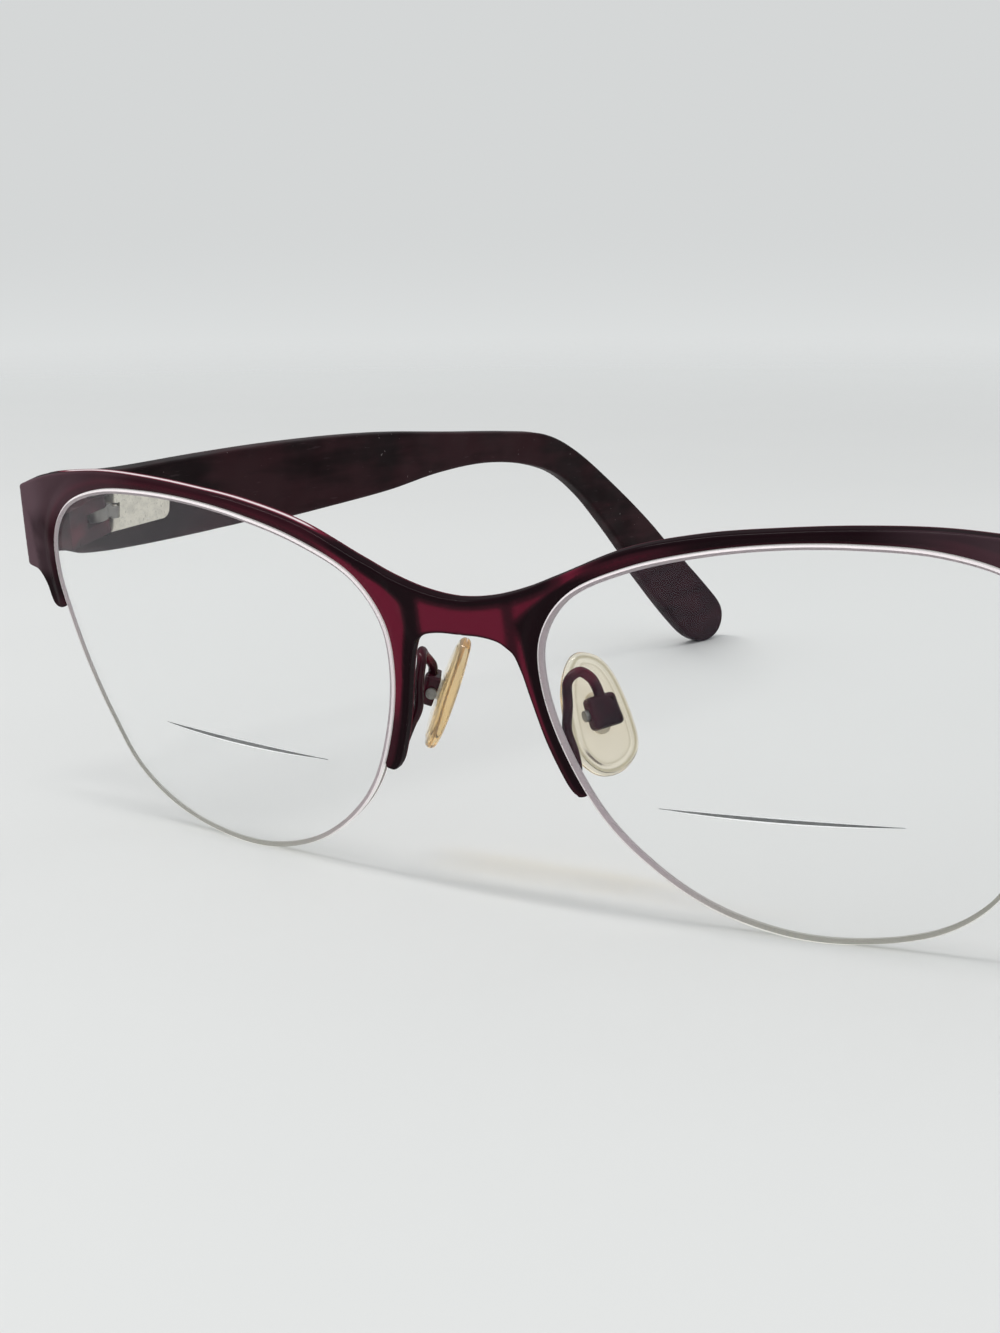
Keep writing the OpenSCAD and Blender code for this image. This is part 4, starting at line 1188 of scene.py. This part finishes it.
def box_shape():
    """The box on a pad's back: rounded, with a sloped shoulder, hollow below and drilled for its screw."""
    half_w = BOX_W / 2
    half_l = BOX_L / 2
    turn = np.linspace(0, math.pi / 2, 6)
    quarter = BOX_CORNER * around(turn)
    loop = []
    for cx, cy, c, s in ((1, 1, 1, 0), (-1, 1, 0, 1), (-1, -1, -1, 0), (1, -1, 0, -1)):
        at = quarter @ np.array([[c, s], [-s, c]])
        loop.append(at + [cx * (half_w - BOX_CORNER), cy * (half_l - BOX_CORNER)])
    loop = even(np.vstack(loop), 0.16, True)
    flat, tris, edge = sheet_mesh(loop, (0.04, 0.1, 0.18, 0.28, 0.4, 0.54), 0.2)
    d = line_distance(flat, loop, True)
    shoulder = 0.45 * smooth(flat[:, 0] * 0.8 + flat[:, 1] * 0.5, 0.2, 1.9)
    lid = BOX_Z0 + BOX_D - drop(d, 0.5) * 0.9 - shoulder
    top = np.column_stack([flat, lid])
    base = np.column_stack([flat, BOX_Z0 + drop(d, 0.12)])
    rows = [mix(top[edge], base[edge], share) for share in (0.15, 0.5, 0.85)]
    verts, faces = slab(tris, edge, top, base, rows)
    inner_w = half_w - BOX_WALL
    inner_l = half_l - BOX_WALL
    hollow = cutter((-inner_w, -inner_l, BOX_Z0 - 1), (inner_w, inner_l, BOX_Z0 + BOX_D - BOX_BACK),
                    pad_to_face)
    path = np.column_stack([np.linspace(-2 * half_w, 2 * half_w, 5), np.zeros(5), np.full(5, PAD_SCREW_Z)])
    hole = moved(tube(path, SCREW_HOLE_R, 24), pad_to_face)
    return carved(pad_to_face(verts), faces, [hollow, hole])


def pad_shape():
    """A pad as a closed body with crowned faces and a soft edge."""
    half = PAD_W / 2
    high = PAD_LEN / 2
    knots = [
        (0, high), (half * 0.55, high - 1), (half * 0.86, high - 3.4), (half, -0.2 * high),
        (half * 0.93, -0.66 * high), (half * 0.5, 0.5 - high), (-half * 0.1, -high),
        (-half * 0.62, 0.8 - high), (-half, -0.5 * high), (-half * 0.98, 0), (-half * 0.8, high - 3.2),
        (-half * 0.42, high - 0.8),
    ]
    loop = even(catmull(knots, 12, True), 0.35, True)[::-1]
    rings = (0.05, 0.14, 0.27, 0.40, 0.52, 0.64, 0.78, 0.95, 1.1, 1.25, 1.4, 1.6)
    flat, tris, edge = sheet_mesh(loop, rings, 0.6)
    d = line_distance(flat, loop, True)
    sag = (flat[:, 0] ** 2 + flat[:, 1] ** 2) / (2 * PAD_BALL_R)
    upper = PAD_T / 2 - sag - drop(d, PAD_ROUND)
    lower = -PAD_T / 2 + sag + drop(d, PAD_ROUND)
    step = PAD_STEP * smooth(d, 0.9, 1.15)
    top = np.column_stack([flat, upper - PAD_STEP + step])
    bottom = np.column_stack([flat, lower])
    rows = [np.column_stack([flat[edge], mix(top[edge, 2], bottom[edge, 2], 0.5)])]
    verts, faces = slab(tris, edge, top, bottom, rows)
    # Painted dark lines along the rim and the step, in place of the refraction at the pad's edges.
    rim = smooth(d, 0.33, 0.45) * (1 - smooth(d, 0.60, 0.75))
    inner = 0.5 * smooth(d, 1.1, 1.2) * (1 - smooth(d, 1.3, 1.45))
    shade = 0.85 * rim + inner
    return pad_to_face(verts), faces, np.concatenate([shade, 0.3 * shade, np.zeros(len(edge))])


def dress(node, finish, bevel):
    """Gives a solid of the frame its finish and breaks its sharp edges."""
    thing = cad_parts[node]
    thing.data.materials.clear()
    thing.data.materials.append(finish)
    weld = thing.modifiers.new("weld", "WELD")
    weld.merge_threshold = 1e-6
    edge = thing.modifiers.new("edge", "BEVEL")
    edge.width = bevel / MM
    edge.segments = 3
    edge.limit_method = "ANGLE"
    edge.angle_limit = SHARP
    edge.use_clamp_overlap = True
    edge.harden_normals = False
    thing.data.polygons.foreach_set("use_smooth", [True] * len(thing.data.polygons))
    thing.data.set_sharp_from_angle(angle=SHARP)


class GLASSES_OT_hinges(bpy.types.Operator):
    """Hinge blocks, screws, sliders, springs, collars and housings"""

    bl_idname = "glasses.hinges"
    bl_label = "Hinges"

    def execute(self, context):
        colours = context.scene.glasses_colours
        enamel = finish_named("part_enamel", enamel_finish, colours, False)
        metal = finish_named("satin_silver", metal_finish, colours)
        steel = finish_named("screw_steel", steel_finish, colours)
        collar_y = HOUSING_Y1 - HOUSING_END - COLLAR_TRAVEL - COLLAR_T
        length = collar_y - SPRING_Y0 - SEAT_FIT
        spring = spring_shape(length)
        housing = housing_shape()
        tab = cutter((HOUSING_X0 + 0.08, HOUSING_Y0 - 0.9, -0.66),
                     (BORE_X - SLOT_R, HOUSING_Y0 + 0.55, 0.66))
        for side, sign in SIDES:
            dress("hinge_block_" + side, enamel, 0.18)
            dress("hinge_screw_" + side, steel, 0.1)
            dress("hinge_slider_" + side, steel, 0.12)
            dress("spring_retainer_" + side, metal, 0.06)
            piece("hinge_housing_" + side, *housing, sign, "temple_" + side, "bright_metal", [metal],
                  ["hinge_housing_" + side], angle=30)
            piece("slider_tab_" + side, *tab, sign, "slider_" + side, "bright_metal", [metal], angle=30)
            coils = piece("hinge_spring_" + side, *spring, sign, "temple_" + side, "bright_metal", [metal],
                          ["hinge_spring_" + side])
            ends = temple_to_face([[BORE_X, SPRING_Y0, 0], [BORE_X, SPRING_Y0 + length, 0]])
            ends = worn(ends * [sign, 1, 1])
            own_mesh(coils)
        return {"FINISHED"}


def spring_shape(length):
    """The spring round the slider's stem, of round wire with rounded ends."""
    turn = np.linspace(0, SPRING_TURNS, 20 * SPRING_TURNS + 1)
    coil = STEM_R + RUNNING_FIT + SPRING_WIRE_R
    pitch = (length - 2 * SPRING_WIRE_R) / SPRING_TURNS
    path = np.column_stack([
        BORE_X + coil * np.cos(2 * math.pi * turn), SPRING_Y0 + SPRING_WIRE_R + pitch * turn,
        coil * np.sin(2 * math.pi * turn),
    ])
    path, radii = rounded_ends(path, SPRING_WIRE_R, 3)
    return moved(tube(path, radii, 10, 1.0, (0, 1, 0)))


def temple_outline():
    """The temple seen from the side, as a counterclockwise loop."""
    f = TEMPLE_FRONT
    knots = [
        (f, 4.6), (f + 0.4, 4.85), (5.7, 5.05), (18.7, 6), (29, 6.6), (41, 6.95), (51.4, 6.85),
        (63.6, 6.2), (76, 5.6), (84, 4.75), (90.8, 2.1), (99.4, -3.1), (109.6, -10.1),
        (119.6, -18), (127.8, -24.3), (131.3, -27.4), (132.0, -29.9), (130.7, -32.0),
        (127.6, -32.8), (124.4, -31.8), (120.5, -29.1), (114.4, -24.0), (106.7, -17.0),
        (99.2, -10.1), (92.8, -4.8), (86.3, -1.1), (78.5, 0.8), (70, 1.4), (60.5, 0.6),
        (50.8, -1.1), (39, -2.5), (28.3, -3.6), (15.9, -4.5), (5, -4.95), (f + 0.7, -4.8),
        (f, -4.2),
    ]
    return even(catmull(knots, 10), 0.6, True)[::-1]


def housing_outline(grow):
    """The spring housing seen from the side: its lower edge rises towards its rounded rear end."""
    y0 = HOUSING_Y0 - grow
    half = HOUSING_H / 2
    turn = np.linspace(-math.pi / 2, 0, 8)
    centre = [HOUSING_Y1 - HOUSING_UNDER_R, HOUSING_RISE + HOUSING_UNDER_R - half]
    under = centre + (HOUSING_UNDER_R + grow) * around(turn)
    centre = [HOUSING_Y1 - HOUSING_OVER_R, half - HOUSING_OVER_R]
    over = centre + (HOUSING_OVER_R + grow) * around(turn + math.pi / 2)
    return np.vstack([[y0, -half - grow], under, over, [y0, half + grow]])


def prism(outline, x0, x1):
    """A straight bar with that outline in the temple's frame."""
    n = len(outline)
    verts = [(x, p[0], p[1]) for x in (x0, x1) for p in outline]
    faces = [tuple(range(n))[::-1], tuple(range(n, 2 * n))]
    faces += [(i, (i + 1) % n, n + (i + 1) % n, n + i) for i in range(n)]
    return temple_to_face(verts), faces


def housing_shape():
    """The silver housing: rounded, bored for the spring and notched where the slider goes in."""
    loop = even(housing_outline(0.0), 0.25, True)
    flat, tris, edge = sheet_mesh(loop, (0.04, 0.1, 0.18, 0.28, 0.42), 0.6)
    d = line_distance(flat, loop, True)
    inner = temple_to_face(np.column_stack([HOUSING_X0 + drop(d, 0.28), flat]))
    outer = temple_to_face(np.column_stack([HOUSING_X0 + HOUSING_T - drop(d, 0.06), flat]))
    rows = [mix(outer[edge], inner[edge], share) for share in (0.5, 0.85)]
    verts, faces = slab(tris, edge, outer, inner, rows)
    along = np.linspace(HOUSING_Y0 + HOUSING_WALL, HOUSING_Y1 - HOUSING_END, 5)
    cuts = [
        moved(tube(np.column_stack([np.full(5, BORE_X), along, np.zeros(5)]), BORE_R, 32)),
        cutter((BORE_X - SLOT_R, HOUSING_Y0 - 1, -SLOT_R), (BORE_X + SLOT_R, HOUSING_Y0 + 1.01, SLOT_R)),
        cutter((HOUSING_X0 - 1, HOUSING_Y0 - 1, -0.9), (BORE_X - 0.2, HOUSING_Y0 + 0.95, 0.9)),
    ]
    return carved(verts, faces, cuts)


def cutter(low, high, placed=temple_to_face):
    """A box for cutting a pocket, from two corners in the piece's own frame."""
    corners = [(x, y, z) for x in (low[0], high[0]) for y in (low[1], high[1]) for z in (low[2], high[2])]
    faces = [(0, 1, 3, 2), (4, 6, 7, 5), (0, 4, 5, 1), (2, 3, 7, 6), (0, 2, 6, 4), (1, 5, 7, 3)]
    return placed(np.array(corners)), faces


def carved(verts, faces, parts):
    """The same body with other bodies cut away, as points in the wearer's frame."""

    def solid_of(v, f):
        mesh = bpy.data.meshes.new("blank")
        mesh.from_pydata(np.asarray(v).tolist(), [], [tuple(int(i) for i in x) for x in f])
        thing = bpy.data.objects.new("blank", mesh)
        bpy.context.scene.collection.objects.link(thing)
        return thing

    body = solid_of(verts, faces)
    tools = [solid_of(*part) for part in parts]
    for tool in tools:
        cut = body.modifiers.new("cut", "BOOLEAN")
        cut.object = tool
        cut.operation = "DIFFERENCE"
        cut.solver = "EXACT"
    graph = bpy.context.evaluated_depsgraph_get()
    mesh = body.evaluated_get(graph).to_mesh()
    points = np.array([v.co[:] for v in mesh.vertices])
    sides = [tuple(p.vertices) for p in mesh.polygons]
    for thing in [body, *tools]:
        data = thing.data
        bpy.data.objects.remove(thing)
        bpy.data.meshes.remove(data)
    return points, sides


def temple_shape(shape):
    """A temple as a closed body: a flat inner face and a crowned outer face."""
    loop = temple_outline()
    flat, tris, edge = sheet_mesh(loop, (0.06, 0.16, 0.3, 0.48, 0.7, 0.98, 1.35, 1.9), 1.6)
    d = line_distance(flat, loop, True)
    slim = np.clip((flat[:, 0] - SLIM_FROM) / (SLIM_TO - SLIM_FROM), 0, 1)
    outer = TEMPLE_X0 + mix(TEMPLE_T, TEMPLE_SLIM, slim)
    r = shape.temple_round * MM
    butt = smooth(flat[:, 0], TEMPLE_FRONT + 0.2, TEMPLE_FRONT + 2.5)
    fall = drop(d, r) * mix(0.25, 1.0, butt)
    crown = 0.12 * (1 - smooth(d, 0.8, 4.5)) * butt
    top = temple_to_face(np.column_stack([outer - fall - crown, flat]))
    low = temple_to_face(np.column_stack([TEMPLE_X0 + drop(d, 0.45), flat]))
    rows = [mix(top[edge], low[edge], share) for share in (0.33, 0.67)]
    return slab(tris, edge, top, low, rows)


class GLASSES_OT_temples(bpy.types.Operator):
    """Moulded temples and the metal cores inside them"""

    bl_idname = "glasses.temples"
    bl_label = "Temples"

    def execute(self, context):
        colours = context.scene.glasses_colours
        acetate = finish_named("temple_acetate", acetate_finish, colours)
        metal = finish_named("satin_silver", metal_finish, colours)
        verts, faces = temple_shape(context.scene.glasses_shape)
        boxes = [
            prism(housing_outline(SEAT_FIT), TEMPLE_X0 - 1, HOUSING_X0 + HOUSING_T + SEAT_FIT),
            cutter((TEMPLE_X0 - 1.01, -5, -1.3), (BORE_X + 1.3, HOUSING_Y0 + 0.1, 1.3)),
            cutter((TEMPLE_X0 - 1.02, -5.1, -3.1), (TEMPLE_X0 + 0.6, HOUSING_Y0 + 0.11, 3.1)),
        ]
        verts, faces = carved(verts, faces, boxes)
        for side, sign in SIDES:
            piece("temple_" + side, verts, faces, sign, "temple_" + side, "temple_plastic", [acetate],
                  ["temple_" + side])
            dress("temple_core_" + side, metal, 0.2)
        return {"FINISHED"}


class GLASSES_OT_stage(bpy.types.Operator):
    """Floor, lamps, sky and camera"""

    bl_idname = "glasses.stage"
    bl_label = "Stage"

    def execute(self, context):
        scene = context.scene
        self.floor(scene)
        self.sky(scene)
        self.lamps(scene)
        self.camera(scene)
        scene.view_settings.view_transform = "Standard"
        return {"FINISHED"}

    def floor(self, scene):
        n = 96
        turn = 2 * math.pi * np.arange(n) / n
        radii = (0.4, 1.6)
        verts = [(0, 0, 0)] + [(r * math.cos(a), r * math.sin(a), 0) for r in radii for a in turn]
        faces = [(0, 1 + i, 1 + (i + 1) % n) for i in range(n)]
        faces += [(1 + i, 1 + n + i, 1 + n + (i + 1) % n, 1 + (i + 1) % n) for i in range(n)]
        mesh = bpy.data.meshes.new("floor")
        mesh.from_pydata(verts, [], faces)
        f = Finish("floor_paint")
        cloud = f.noise(f.place((0.004, 0.004, 0.004)), 2.0, 3)
        tone = scene.glasses_colours.floor
        paint = f.blend(f.step(cloud, 0.3, 0.7), tone, dimmed(tone, 0.985))
        paper = f.principled({
            "Base Color": paint, "Roughness": 0.7, "Specular IOR Level": 0.05,
        })
        clear = f.node("ShaderNodeBsdfTransparent")
        far = f.node("ShaderNodeVectorMath", {"operation": "LENGTH"},
                     {0: f.node("ShaderNodeTexCoord", output="Object")}, "Value")
        shader = f.node("ShaderNodeMixShader", {}, {0: f.step(far, 0.32, 1.1), 1: paper, 2: clear})
        mesh.materials.append(f.finish(shader))
        floor = bpy.data.objects.new("floor", mesh)
        scene.collection.objects.link(floor)

    def sky(self, scene):
        world = bpy.data.worlds.new("sky")
        scene.world = world
        f = Finish("sky", world)
        seen = f.node("ShaderNodeMath", {"operation": "MAXIMUM"}, {
            0: f.node("ShaderNodeLightPath", output="Is Camera Ray"),
            1: f.node("ShaderNodeLightPath", output="Is Transmission Ray"),
        })
        light = f.node("ShaderNodeBackground", {}, {"Color": (0.95, 0.975, 0.99, 1.0), "Strength": 0.575})
        at = f.node("ShaderNodeTexCoord", output="Generated")
        height = f.step(f.node("ShaderNodeSeparateXYZ", {}, {0: at}, "Z"), -0.10, 0.0)
        tone = f.blend(height, (0.765, 0.785, 0.785), (0.665, 0.680, 0.680))
        view = f.node("ShaderNodeBackground", {}, {"Color": tone, "Strength": 1.0})
        whole = f.node("ShaderNodeMixShader", {}, {0: seen, 1: light, 2: view})
        f.node("ShaderNodeOutputWorld", {}, {"Surface": whole})

    def lamps(self, scene):
        aim = Vector((0, -0.05, 0.02))
        for name, place, size, watts, colour in (
                ("window", (-0.25, -0.356, 1.1), (0.14, 1.2), 6.5, (1.0, 0.985, 0.97)),
                ("room", (-0.6, -0.5, 1.1), (1.6, 1.6), 1.3, (1.0, 0.99, 0.98)),
                ("fill", (0.9, -0.6, 0.9), (1.2, 1.2), 2.0, (0.97, 0.985, 1.0)),
                ("back", (0.1, 1.2, 0.9), (1.2, 1.2), 1.6, (1.0, 1.0, 1.0))):
            lamp = bpy.data.lights.new(name, "AREA")
            lamp.energy = watts
            lamp.shape = "RECTANGLE"
            lamp.size, lamp.size_y = size
            lamp.color = colour
            thing = bpy.data.objects.new(name, lamp)
            thing.location = place
            thing.rotation_mode = "QUATERNION"
            away = (Vector(place) - aim).normalized()
            side = Vector((0, 1, 0)).cross(away) if name == "back" else away.cross(Vector((1, 0, 0)))
            side.normalize()
            thing.rotation_quaternion = Matrix((side, away.cross(side), away)).transposed().to_quaternion()
            scene.collection.objects.link(thing)

    def camera(self, scene):
        level = math.cos(CAMERA_DOWN)
        forward = np.array([-math.sin(CAMERA_AZIMUTH) * level, math.cos(CAMERA_AZIMUTH) * level,
                            -math.sin(CAMERA_DOWN)])
        right = np.array([math.cos(CAMERA_AZIMUTH), math.sin(CAMERA_AZIMUTH), 0])
        up = np.cross(right, forward)
        c = math.cos(CAMERA_ROLL)
        s = math.sin(CAMERA_ROLL)
        right, up = c * right + s * up, c * up - s * right
        place = np.array([CAMERA_PLACE])
        points = worn(np.vstack([place, place + right, place + up, place - forward]))
        at = points[0]
        axes = (points[1:] - at) * MM
        lens = bpy.data.cameras.new("camera")
        lens.sensor_fit = "HORIZONTAL"
        lens.sensor_width = SENSOR_W
        lens.lens = SENSOR_W * CAMERA_FOCAL
        lens.clip_start = 0.01
        lens.clip_end = 50
        thing = bpy.data.objects.new("camera", lens)
        matrix = [[axes[0][i], axes[1][i], axes[2][i], at[i]] for i in range(3)] + [[0, 0, 0, 1]]
        thing.matrix_world = Matrix(matrix)
        scene.collection.objects.link(thing)
        scene.camera = thing


class GLASSES_PT_pieces(bpy.types.Panel):
    """The pieces of the glasses, one button each"""

    bl_label = "Glasses"
    bl_space_type = "VIEW_3D"
    bl_region_type = "UI"
    bl_category = "Glasses"

    def draw(self, context):
        for operator in OPERATORS:
            self.layout.operator(operator.bl_idname)
        for group in (context.scene.glasses_shape, context.scene.glasses_colours):
            for key in group.__annotations__:
                self.layout.prop(group, key)


OPERATORS = (GLASSES_OT_front, GLASSES_OT_lenses, GLASSES_OT_nylon, GLASSES_OT_nose_pads,
             GLASSES_OT_hinges, GLASSES_OT_temples, GLASSES_OT_stage)
CLASSES = (GlassesShape, GlassesColours, *OPERATORS, GLASSES_PT_pieces)


def register():
    for item in CLASSES:
        bpy.utils.register_class(item)
    bpy.types.Scene.glasses_shape = PointerProperty(type=GlassesShape)
    bpy.types.Scene.glasses_colours = PointerProperty(type=GlassesColours)


def unregister():
    del bpy.types.Scene.glasses_colours
    del bpy.types.Scene.glasses_shape
    for item in reversed(CLASSES):
        bpy.utils.unregister_class(item)


def main():
    register()
    bpy.ops.glasses.front()
    bpy.ops.glasses.lenses()
    bpy.ops.glasses.nylon()
    bpy.ops.glasses.nose_pads()
    bpy.ops.glasses.hinges()
    bpy.ops.glasses.temples()
    bpy.ops.glasses.stage()
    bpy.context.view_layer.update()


if __name__ == "__main__":
    main()
